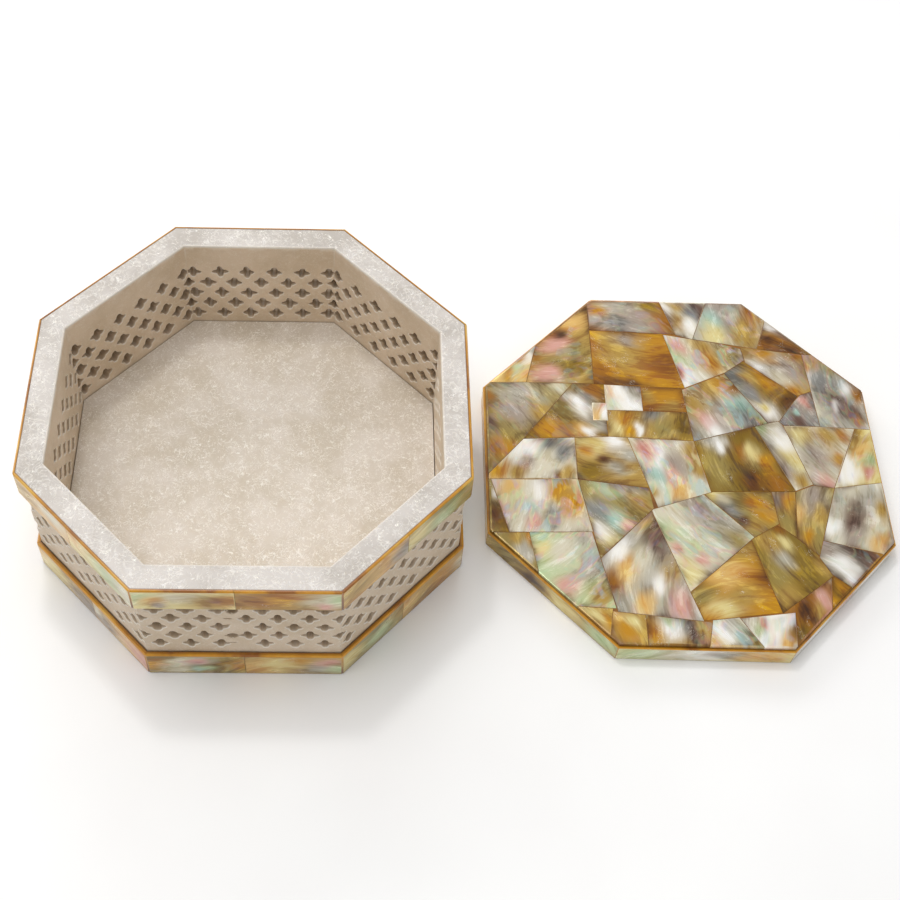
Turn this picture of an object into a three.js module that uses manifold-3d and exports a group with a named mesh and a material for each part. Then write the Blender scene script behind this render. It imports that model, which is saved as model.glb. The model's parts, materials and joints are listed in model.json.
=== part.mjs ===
// An octagonal marble keepsake box with pierced lattice walls. Strips of mother-of-pearl band its
// rim and its foot. The loose lid, a marble plate edged with the same strips and covered with a
// mosaic of mother-of-pearl shards, lies flat beside the box. Millimetres, +Z up.
import * as THREE from 'three';
import { mergeVertices } from 'three/addons/utils/BufferGeometryUtils.js';
import Module from 'manifold-3d';

// Both octagons are cut by hand, so their sides are not all equally far from the centre. The sides
// run clockwise from above, starting with the back one.
const SIDES = ['back', 'back_right', 'right', 'front_right', 'front', 'front_left', 'left', 'back_left'];
const BOX_REACH = [74.8, 75.2, 75.0, 75.5, 73.9, 75.7, 75.0, 74.9];
const LID_REACH = [75.8, 76.0, 73.3, 75.2, 75.8, 75.2, 74.2, 74.8];

// Box
const BOX_HEIGHT = 61;
const RIM_WIDTH = 9.6;
const FLOOR_HEIGHT = 16.6;
const LEDGE_HEIGHT = 10;
const STRIP_THICKNESS = 1.5;
const TOP_BAND_HEIGHT = 12;
const FOOT_BAND_HEIGHT = 14;
const GLUE = 0.3;

// Lattice: staggered rows of four-lobed holes. The drill was held sloping down and outwards.
const ROW_COUNT = 5;
const ROW_SPACING = 6.1;
const TOP_ROW_HEIGHT = 45.4;
const HOLE_PITCH = 10.1;
const HOLE_SIZE = 5.8;
const HOLE_WAIST = 3.4;
const HOLE_SLOPE = THREE.MathUtils.degToRad(12);
const HOLES_PER_HALF_ROW = 3;
// The front wall is longer than the others, and the spare length fell in the middle of its lattice.
const FRONT_SPARE = 2.1;

// Lid
const LID_CENTRE = new THREE.Vector2(159, 8);
const LID_TURN = THREE.MathUtils.degToRad(-1);
const LID_HEIGHT = 10;
const SHARD_THICKNESS = 1.3;
const LID_STRIP_THICKNESS = 1.3;
const MOSAIC_INSET = 0.9;
const JOINT = 0.3;
// A shard is cut a little large, and then ground to fit those already laid.
const SHARD_SPARE = 0.6;

const WHITE_MARBLE = { color: 0xe6dfd4, roughness: 0.5, metalness: 0 };
const NACRE = {
  amber: { color: 0xc08a2c, roughness: 0.28, metalness: 0 },
  cream: { color: 0xd9cda9, roughness: 0.26, metalness: 0 },
  silver: { color: 0xb9b7b4, roughness: 0.24, metalness: 0 },
};

// The shards of the mosaic, in the order they are laid: the colour of each, and its corners
// clockwise as x, y in whole millimetres from the lid's centre. Those at the edge reach past it.
const SHARDS = [
  ['cream', -84, 33, -51, 62, -58, 34],
  ['amber', -58, 34, -51, 62, -32, 82, -32, 34],
  ['amber', -32, 82, -5, 82, 2, 59, -33, 60],
  ['amber', -33, 60, -3, 59, 3, 33, -32, 34],
  ['silver', -5, 82, 18, 80, 9, 57, 2, 59],
  ['silver', 18, 80, 44, 81, 34, 53, 9, 57],
  ['amber', 34, 53, 44, 81, 72, 50, 51, 51],
  ['cream', -3, 60, 2, 59, 9, 57, 27, 54, 28, 47, 20, 41, 3, 33],
  ['cream', 27, 54, 51, 51, 52, 33, 47, 31, 28, 47],
  ['silver', 51, 51, 72, 50, 86, 30, 80, 16, 52, 17],
  ['amber', 20, 41, 28, 47, 47, 31, 38, 19, 34, 18],
  ['silver', 38, 19, 50, 32, 52, 33, 54, 17, 40, 17],
  ['silver', 3, 33, 20, 41, 34, 18, 5, 9],
  ['silver', -27, 33, -14, 33, -14, 22, -27, 22],
  ['amber', -14, 33, 3, 33, 3, 22, -14, 22],
  ['amber', -27, 22, 3, 22, 5, 9, -27, 10],
  ['cream', -82, 33, -40, 34, -60, 8, -80, -15],
  ['amber', -40, 34, -27, 33, -27, 10, -60, 8],
  ['silver', -60, 8, -41, 9, -41, -9, -76, -10],
  ['amber', -41, 9, -21, 9, -15, -12, -41, -9],
  ['cream', -21, 9, 5, 9, 9, -13, -14, -21],
  ['amber', 5, 9, 28, 15, 39, -12, 9, -13],
  ['silver', 28, 15, 38, 19, 46, -9, 39, -12],
  ['cream', 40, 17, 66, 16, 54, -10, 46, -9],
  ['cream', 66, 16, 80, 16, 80, -6, 54, -10],
  ['cream', -72, -10, -41, -9, -37, -31, -66, -32],
  ['silver', -80, -10, -72, -10, -66, -32, -80, -32],
  ['silver', -41, -9, -15, -12, -14, -21, -34, -41],
  ['cream', -84, -32, -60, -32, -56, -56],
  ['cream', -60, -32, -37, -31, -31, -61, -55, -60],
  ['silver', -34, -41, -15, -22, -1, -65, -32, -62],
  ['cream', -14, -21, 5, -15, 21, -32, -4, -54],
  ['amber', 6, -14, 30, -12, 31, -26, 21, -32],
  ['silver', 30, -12, 39, -12, 37, -31, 31, -26],
  ['cream', 39, -12, 46, -9, 54, -10, 44, -38, 37, -31],
  ['silver', 54, -10, 80, -6, 80, -40, 46, -32],
  ['silver', 46, -32, 80, -40, 62, -57, 48, -46, 44, -38],
  ['amber', 21, -32, 31, -26, 37, -31, 44, -38, 48, -46, 28, -61],
  ['amber', -4, -54, 21, -32, 28, -61, -1, -65],
  ['amber', 48, -46, 62, -57, 44, -72],
  ['amber', 33, -58, 48, -46, 44, -72, 31, -80],
  ['amber', -54, -60, -32, -61, -35, -80],
  ['amber', -32, -61, -21, -63, -21, -80, -35, -80],
  ['silver', -21, -63, 2, -66, -1, -80, -21, -80],
  ['silver', 2, -64, 11, -63, 22, -80, -1, -80],
  ['cream', 11, -64, 32, -61, 31, -80, 22, -80],
];

const wasm = await Module();
wasm.setup();

// A side's outward normal, as an angle from +X.
function sideAngle(side) {
  return Math.PI / 2 - (side * Math.PI) / 4;
}

// The corners of an octagon whose sides lie at the given reaches, all moved in by an inset. Corner
// k is where side k begins, so side k runs from corner k to corner k + 1.
function octagon(reach, inset = 0) {
  return reach.map((toSide, side) => {
    const before = (side + 7) % 8;
    const a = sideAngle(before);
    const b = sideAngle(side);
    const toA = reach[before] - inset;
    const toB = toSide - inset;
    return new THREE.Vector2(toA * Math.sin(b) - toB * Math.sin(a), toB * Math.cos(a) - toA * Math.cos(b))
      .divideScalar(Math.sin(b - a));
  });
}

// An upright prism over a plan outline, with an opening through it if one is given.
function prism(outline, bottom, top, opening = null) {
  const shape = new THREE.Shape(outline);
  if (opening) shape.holes.push(new THREE.Path(opening));
  const solid = new THREE.ExtrudeGeometry(shape, { depth: top - bottom, bevelEnabled: false });
  return solid.translate(0, 0, bottom);
}

function toSolid(geometry) {
  const bare = geometry.clone();
  bare.deleteAttribute('normal');
  bare.deleteAttribute('uv');
  const merged = mergeVertices(bare, 1e-4);
  return new wasm.Manifold(new wasm.Mesh({
    numProp: 3,
    vertProperties: new Float32Array(merged.attributes.position.array),
    triVerts: new Uint32Array(merged.index.array),
  }));
}

function toGeometry(solid) {
  const mesh = solid.getMesh();
  const geometry = new THREE.BufferGeometry();
  geometry.setAttribute('position', new THREE.BufferAttribute(mesh.vertProperties, 3));
  geometry.setIndex(new THREE.BufferAttribute(mesh.triVerts, 1));
  geometry.computeVertexNormals();
  return geometry;
}

function named(name, geometry, finish) {
  const mesh = new THREE.Mesh(geometry, new THREE.MeshStandardMaterial({ ...finish, flatShading: true }));
  mesh.name = name;
  return mesh;
}

// A hole's outline: a lobe left, right, up and down, and a waist between each two of them.
function lobedOutline() {
  const points = [];
  for (let corner = 0; corner < 8; corner += 1) {
    const angle = (corner * Math.PI) / 4;
    const radius = (corner % 2 ? HOLE_WAIST : HOLE_SIZE) / 2;
    points.push(new THREE.Vector2(radius * Math.cos(angle), radius * Math.sin(angle)));
  }
  return points;
}

// A cutter for one hole: it passes through the middle of the wall at a point of the plan, at the
// height of its row, and runs along a direction of the plan, sloping down outwards.
function holeCutter(outline, point, direction, height) {
  const length = 3 * RIM_WIDTH;
  const outwards = new THREE.Vector3(direction.x, direction.y, 0).normalize();
  const along = new THREE.Vector3(-outwards.y, outwards.x, 0);
  outwards.applyAxisAngle(along, HOLE_SLOPE);
  const up = new THREE.Vector3().crossVectors(outwards, along);
  const place = new THREE.Matrix4().makeBasis(along, up, outwards);
  place.setPosition(point.x, point.y, height);
  return toSolid(prism(outline, -length / 2, length / 2).applyMatrix4(place));
}

// One of the eight mitred wall panels, pierced by its rows of holes. The rows take turns: three
// holes each side of the middle, or one in the middle and one on each corner of the octagon. The
// panel is cut lying along X with its outer face towards +Y, and then turned to its side.
function wallPanel(side) {
  const turn = sideAngle(side) - Math.PI / 2;
  const cornersAt = (distance) => {
    const corners = octagon(BOX_REACH, distance);
    const ends = [corners[side], corners[(side + 1) % 8]];
    return ends.map((corner) => corner.rotateAround(new THREE.Vector2(), -turn));
  };
  const outside = STRIP_THICKNESS + GLUE;
  const inner = cornersAt(RIM_WIDTH);
  const outer = cornersAt(outside);
  const middle = cornersAt((RIM_WIDTH + outside) / 2);
  const mitre = new THREE.Vector2(GLUE / 2, 0);
  const innerY = BOX_REACH[side] - RIM_WIDTH;
  const outerY = BOX_REACH[side] - outside;
  const plan = [
    new THREE.Vector2(inner[1].x, innerY).sub(mitre),
    new THREE.Vector2(outer[1].x, outerY).sub(mitre),
    new THREE.Vector2(outer[0].x, outerY).add(mitre),
    new THREE.Vector2(inner[0].x, innerY).add(mitre),
  ];
  const outwards = new THREE.Vector2(0, 1);
  const diamond = lobedOutline().filter((point, corner) => corner % 2 === 0);
  const spare = SIDES[side] === 'front' ? FRONT_SPARE : 0;
  const cutters = [];
  for (let row = 0; row < ROW_COUNT; row += 1) {
    const height = TOP_ROW_HEIGHT - row * ROW_SPACING;
    const onCorners = row % 2 === 1;
    for (let count = 0; count < 2 * HOLES_PER_HALF_ROW - (onCorners ? 1 : 0); count += 1) {
      const step = count - HOLES_PER_HALF_ROW + (onCorners ? 1 : 0.5);
      const centre = middle[0].clone().lerp(middle[1], 0.5);
      centre.x += step * HOLE_PITCH + (step <= 0 ? -spare : spare);
      cutters.push(holeCutter(lobedOutline(), centre, outwards, height));
    }
    if (onCorners) middle.forEach((corner) => cutters.push(holeCutter(diamond, corner, corner, height)));
  }
  const blank = toSolid(prism(plan, LEDGE_HEIGHT + GLUE, BOX_HEIGHT));
  const panel = cutters.reduce((rest, cutter) => rest.subtract(cutter), blank);
  const mesh = named(`wall_${SIDES[side]}`, toGeometry(panel), WHITE_MARBLE);
  mesh.rotation.z = turn;
  return mesh;
}

// The base slab has a ledge all round for the walls, and its middle is the floor of the box.
function baseSlab() {
  const slab = toSolid(prism(octagon(BOX_REACH, STRIP_THICKNESS + GLUE), 0, LEDGE_HEIGHT));
  const floor = toSolid(prism(octagon(BOX_REACH, RIM_WIDTH + GLUE), LEDGE_HEIGHT / 2, FLOOR_HEIGHT));
  return named('base', toGeometry(slab.add(floor)), WHITE_MARBLE);
}

// A band of strips joined end to end round an octagon.
function band(name, reach, thickness, bottom, top) {
  const opening = octagon(reach, thickness).reverse();
  return named(name, prism(octagon(reach), bottom, top, opening), NACRE.amber);
}

// What is left of a convex clockwise outline on the right of the line from one point to another,
// when the line is first moved to the right by a distance.
function trim(outline, from, to, distance = 0) {
  const right = new THREE.Vector2(to.y - from.y, from.x - to.x).normalize();
  const depth = (point) => point.clone().sub(from).dot(right) - distance;
  const kept = [];
  outline.forEach((point, index) => {
    const next = outline[(index + 1) % outline.length];
    const here = depth(point);
    const there = depth(next);
    if (here >= 0) kept.push(point);
    if (here * there < 0) kept.push(point.clone().lerp(next, here / (here - there)));
  });
  return kept;
}

// A convex clockwise outline with every side moved in by a distance, or out by a negative one.
function inset(outline, distance) {
  const far = 2 * Math.max(...LID_REACH);
  const sheet = [
    new THREE.Vector2(-far, -far),
    new THREE.Vector2(-far, far),
    new THREE.Vector2(far, far),
    new THREE.Vector2(far, -far),
  ];
  return outline.reduce((left, point, index) => (
    trim(left, point, outline[(index + 1) % outline.length], distance)
  ), sheet);
}

// How far one outline reaches past each side of another, towards its inside.
function reaches(outline, other) {
  return outline.map((from, index) => {
    const to = outline[(index + 1) % outline.length];
    const left = new THREE.Vector2(from.y - to.y, to.x - from.x).normalize();
    return { from, to, reach: Math.max(...other.map((point) => from.clone().sub(point).dot(left))) };
  });
}

// Grinds an outline where it laps over a laid one: along one of the laid one's sides, or back
// from one of its own, whichever leaves the most of it.
function grind(outline, laid) {
  const theirs = reaches(laid, outline);
  const ours = reaches(outline, laid);
  if ([...theirs, ...ours].some((side) => side.reach <= 0)) return outline;
  const ground = [
    ...theirs.map(({ from, to }) => trim(outline, to, from)),
    ...ours.map(({ from, to, reach }) => trim(outline, from, to, reach)),
  ];
  const areas = ground.map((left) => Math.abs(THREE.ShapeUtils.area(left)));
  return ground[areas.indexOf(Math.max(...areas))];
}

// Lays the shards one after another, and opens the joints between them.
function mosaic() {
  const edge = octagon(LID_REACH, MOSAIC_INSET);
  const laid = [];
  SHARDS.forEach(([, ...numbers]) => {
    const corners = [];
    for (let i = 0; i < numbers.length; i += 2) corners.push(new THREE.Vector2(numbers[i], numbers[i + 1]));
    let outline = inset(corners, -SHARD_SPARE);
    edge.forEach((point, index) => {
      outline = trim(outline, point, edge[(index + 1) % 8]);
    });
    laid.push(laid.reduce(grind, outline));
  });
  return laid.map((outline, index) => {
    const name = `shard_${String(index + 1).padStart(2, '0')}`;
    const solid = prism(inset(outline, JOINT / 2).reverse(), LID_HEIGHT - SHARD_THICKNESS, LID_HEIGHT);
    return named(name, solid, NACRE[SHARDS[index][0]]);
  });
}

function lid() {
  const top = LID_HEIGHT - SHARD_THICKNESS - GLUE;
  const core = prism(octagon(LID_REACH, LID_STRIP_THICKNESS + GLUE), 0, top);
  const group = new THREE.Group();
  group.add(named('lid_core', core, WHITE_MARBLE));
  group.add(band('lid_band', LID_REACH, LID_STRIP_THICKNESS, 0, top));
  group.add(...mosaic());
  group.position.set(LID_CENTRE.x, LID_CENTRE.y, 0);
  group.rotation.z = LID_TURN;
  return group;
}

const group = new THREE.Group();
group.add(baseSlab());
SIDES.forEach((name, side) => group.add(wallPanel(side)));
group.add(band('top_band', BOX_REACH, STRIP_THICKNESS, BOX_HEIGHT - TOP_BAND_HEIGHT, BOX_HEIGHT));
group.add(band('foot_band', BOX_REACH, STRIP_THICKNESS, 0, FOOT_BAND_HEIGHT));
group.add(lid());
export default group;
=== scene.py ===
"""An octagonal marble keepsake box with pierced lattice walls, its rim and foot banded with strips
of mother-of-pearl, and its loose lid lying beside it under a mosaic of mother-of-pearl shards."""
import json
import math
import random

import bmesh
import bpy
import numpy as np
from bpy.props import FloatProperty, FloatVectorProperty, IntProperty, PointerProperty
from mathutils import Matrix, Vector, noise
from mathutils.geometry import convex_hull_2d, delaunay_2d_cdt


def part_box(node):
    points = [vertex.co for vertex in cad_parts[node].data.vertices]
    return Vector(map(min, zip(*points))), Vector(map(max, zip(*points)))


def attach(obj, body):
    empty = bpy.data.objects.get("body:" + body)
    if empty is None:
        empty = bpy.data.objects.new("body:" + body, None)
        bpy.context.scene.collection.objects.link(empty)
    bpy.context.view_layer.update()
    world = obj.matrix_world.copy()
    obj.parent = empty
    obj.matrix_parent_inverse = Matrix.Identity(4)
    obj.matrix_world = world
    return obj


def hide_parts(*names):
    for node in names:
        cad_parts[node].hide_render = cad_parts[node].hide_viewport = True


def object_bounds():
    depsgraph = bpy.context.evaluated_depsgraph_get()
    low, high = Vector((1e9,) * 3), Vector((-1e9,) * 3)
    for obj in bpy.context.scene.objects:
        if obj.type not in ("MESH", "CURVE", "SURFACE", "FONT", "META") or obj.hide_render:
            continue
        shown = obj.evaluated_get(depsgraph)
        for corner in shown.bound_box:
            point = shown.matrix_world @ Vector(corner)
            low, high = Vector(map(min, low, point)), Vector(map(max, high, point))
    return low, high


bl_info = {
    "name": "Pierced Marble Box",
    "version": (1, 0, 0),
    "blender": (4, 5, 0),
    "location": "View3D > Sidebar > Marble Box",
    "description": "Carves, veneers and lights a marble keepsake box around its solid frame",
    "category": "Object",
}

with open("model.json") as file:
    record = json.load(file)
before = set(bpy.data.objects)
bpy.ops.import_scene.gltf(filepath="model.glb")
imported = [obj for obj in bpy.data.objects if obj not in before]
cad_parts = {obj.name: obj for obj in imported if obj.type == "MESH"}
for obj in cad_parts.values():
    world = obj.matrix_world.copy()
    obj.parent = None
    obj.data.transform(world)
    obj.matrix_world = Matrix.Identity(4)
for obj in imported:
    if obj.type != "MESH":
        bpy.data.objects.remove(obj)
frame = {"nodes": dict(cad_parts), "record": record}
CAD_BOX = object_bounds()

MM = 0.001
# Corners nearer than the first are the same place, and corners nearer than the second are welded.
TINY = 0.02 * MM
WELD = 2e-6
SIDES = ("back", "back_right", "right", "front_right", "front", "front_left", "left", "back_left")
# Half the turn from one side of the octagon to the next, at which its pieces are mitred.
MITRE = math.radians(22.5)
# Faces that meet at more than this show a sharp edge.
SHARP = math.radians(32)
# How far apart the corners of each kind of mesh are.
WALL_MESH, STRIP_MESH, SHARD_MESH, PATCH_MESH = 1.25 * MM, 0.8 * MM, 0.65 * MM, 1.0 * MM


def linear(code):
    """A hex colour as the linear colour that shaders take."""
    channels = [int(code[place:place + 2], 16) / 255 for place in (1, 3, 5)]
    return [c / 12.92 if c <= 0.04045 else ((c + 0.055) / 1.055) ** 2.4 for c in channels] + [1.0]


def length(name, millimetres, description):
    """A size that the sidebar shows, kept in metres."""
    return FloatProperty(name=name, description=description, default=millimetres * MM,
                         precision=5, unit="LENGTH")


def colour(name, code, description):
    """A colour that the sidebar shows."""
    return FloatVectorProperty(name=name, description=description, default=linear(code),
                               size=4, min=0, max=1, subtype="COLOR")


# ---------------------------------------------------------------- what a user would change

class LatticeSizes(bpy.types.PropertyGroup):
    """The pierced walls: their rows of four-lobed holes, their edges, and the painted shade on their
    outer faces
    """
    rows: IntProperty(name="Rows", description="Rows of holes", default=5, min=1)
    per_half: IntProperty(name="Holes a half row", description="Holes each side of the middle",
                          default=3, min=1)
    top_row: length("Top row", 45.4, "Height of the highest row, at mid wall")
    row_spacing: length("Row spacing", 6.1, "From one row down to the next")
    pitch: length("Pitch", 10.1, "From one hole to the next in a row")
    spare: length("Front slip", 2.1, "How far the long front wall's holes slip from its middle")
    tall: length("Upright reach", 3.0, "From a hole's middle to its top and bottom")
    wide: length("Level reach", 3.0, "From a hole's middle to its left and right tips")
    upright: length("Upright lobe", 1.25, "Half the width of the upper and lower lobes")
    level: length("Level lobe", 1.35, "Half the height of the left and right lobes")
    fillet: length("Worn edge", 0.42, "Rounding where a hole meets a face of the wall")
    arris: length("Rim edge", 0.7, "Rounding along the rim's inner edge")
    shoulder: length("Shoulder", 0.83, "How far the rim's marble comes out behind its strips")
    closing: length("Mitre", 0.162, "What each panel gains at its ends where two of them close up")
    slope: FloatProperty(name="Slope", description="How far the holes tip down outwards",
                         default=math.radians(12), subtype="ANGLE")
    # The outer faces of the walls are darkened a little all over, as painted shade.
    outer_shade: FloatProperty(name="Shading", description="How much shading has darkened the outside",
                           default=0.13, min=0, max=1)


class StoneColours(bpy.types.PropertyGroup):
    """The warm white marble"""
    floor: colour("Floor", "#d6ccbf", "The sawn floor's main colour")
    cloud: colour("Cloud", "#c8bcaa", "Its darker clouds")
    wall: colour("Wall", "#dfccb4", "The carved walls' main colour")
    vein: colour("Vein", "#d2bea3", "The walls' darker clouds")
    fibre: colour("Fibre", "#faf6ee", "The fine curled crystals through it")
    # A painted highlight, laid on the rounded edges of the holes and on the rim's inner edge.
    highlit: colour("Worn edge", "#efe7da", "Where edges are worn pale")
    # Hollow colours the stone's small brown pits, and is also the painted shade far into the holes,
    # in the false starts and over the outer faces.
    hollow: colour("Hollow", "#7c6240", "Deep in the holes, and in pits")
    polish: colour("Polish", "#ccc5be", "The honed rim, which is greyer and paler")
    smoke: colour("Smoke", "#b8b0a7", "The clearer patches of the rim")


class NacreTones(bpy.types.PropertyGroup):
    """The tones of the mother-of-pearl, from the white heart of the shell to its brown lip"""
    # White is a painted highlight: the brightest lustre, laid into the colour.
    white: colour("White", "#f8f5ee", "Brightest lustre")
    pearl: colour("Pearl", "#d8d0b8", "Pale grey pearl")
    silver: colour("Silver", "#b5af9f", "Mid grey")
    steel: colour("Steel", "#868580", "Bluish dark grey")
    lilac: colour("Lilac", "#a59688", "Greyish lilac")
    plum: colour("Plum", "#66493c", "Darkest brownish purple")
    mint: colour("Mint", "#bccb9c", "Pale green lustre")
    aqua: colour("Aqua", "#a3c4b6", "Blue green lustre")
    pink: colour("Pink", "#d6a091", "Pink lustre")
    peach: colour("Peach", "#dfb468", "Pale orange")
    cream: colour("Cream", "#e2d18f", "Pale yellow")
    sand: colour("Sand", "#b28f42", "Dull yellow brown")
    khaki: colour("Khaki", "#9c8746", "Greyish yellow")
    olive: colour("Olive", "#84660c", "Dark greenish gold")
    gold: colour("Gold", "#c0870a", "Clear gold")
    amber: colour("Amber", "#9d6406", "Deep amber")
    brown: colour("Brown", "#5f3506", "Brown of the shell's lip")


class StudioSettings(bpy.types.PropertyGroup):
    """Where the camera stands, and the lights"""
    across: length("Camera across", 34.63, "Camera's place along X")
    back: length("Camera back", -272.57, "Camera's place along Y")
    height: length("Camera height", 458.68, "Camera's place along Z")
    heading: FloatProperty(name="Heading", description="Turn to the right of +Y",
                           default=math.radians(2.07), subtype="ANGLE")
    pitch: FloatProperty(name="Pitch", description="Tilt below the horizon",
                         default=math.radians(53.92), subtype="ANGLE")
    roll: FloatProperty(name="Roll", description="Turn about the line of sight",
                        default=math.radians(2.44), subtype="ANGLE")
    focal: FloatProperty(name="Focal length", description="On a 36 mm sensor", default=56.92,
                         unit="CAMERA")
    shift_x: FloatProperty(name="Shift X", description="Lens shift to the side", default=0.0753)
    shift_y: FloatProperty(name="Shift Y", description="Lens shift upwards", default=-0.105)
    sky: FloatProperty(name="Sky", description="Strength of the white surroundings", default=0.53)
    overhead: FloatProperty(name="Overhead", description="Power of the overhead soft box",
                            default=5.4, unit="POWER")
    key: FloatProperty(name="Key", description="Power of the small lamp above and behind",
                       default=1.5, unit="POWER")
    rear: FloatProperty(name="Rear", description="Power of the low soft box behind", default=4.0,
                        unit="POWER")
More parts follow.
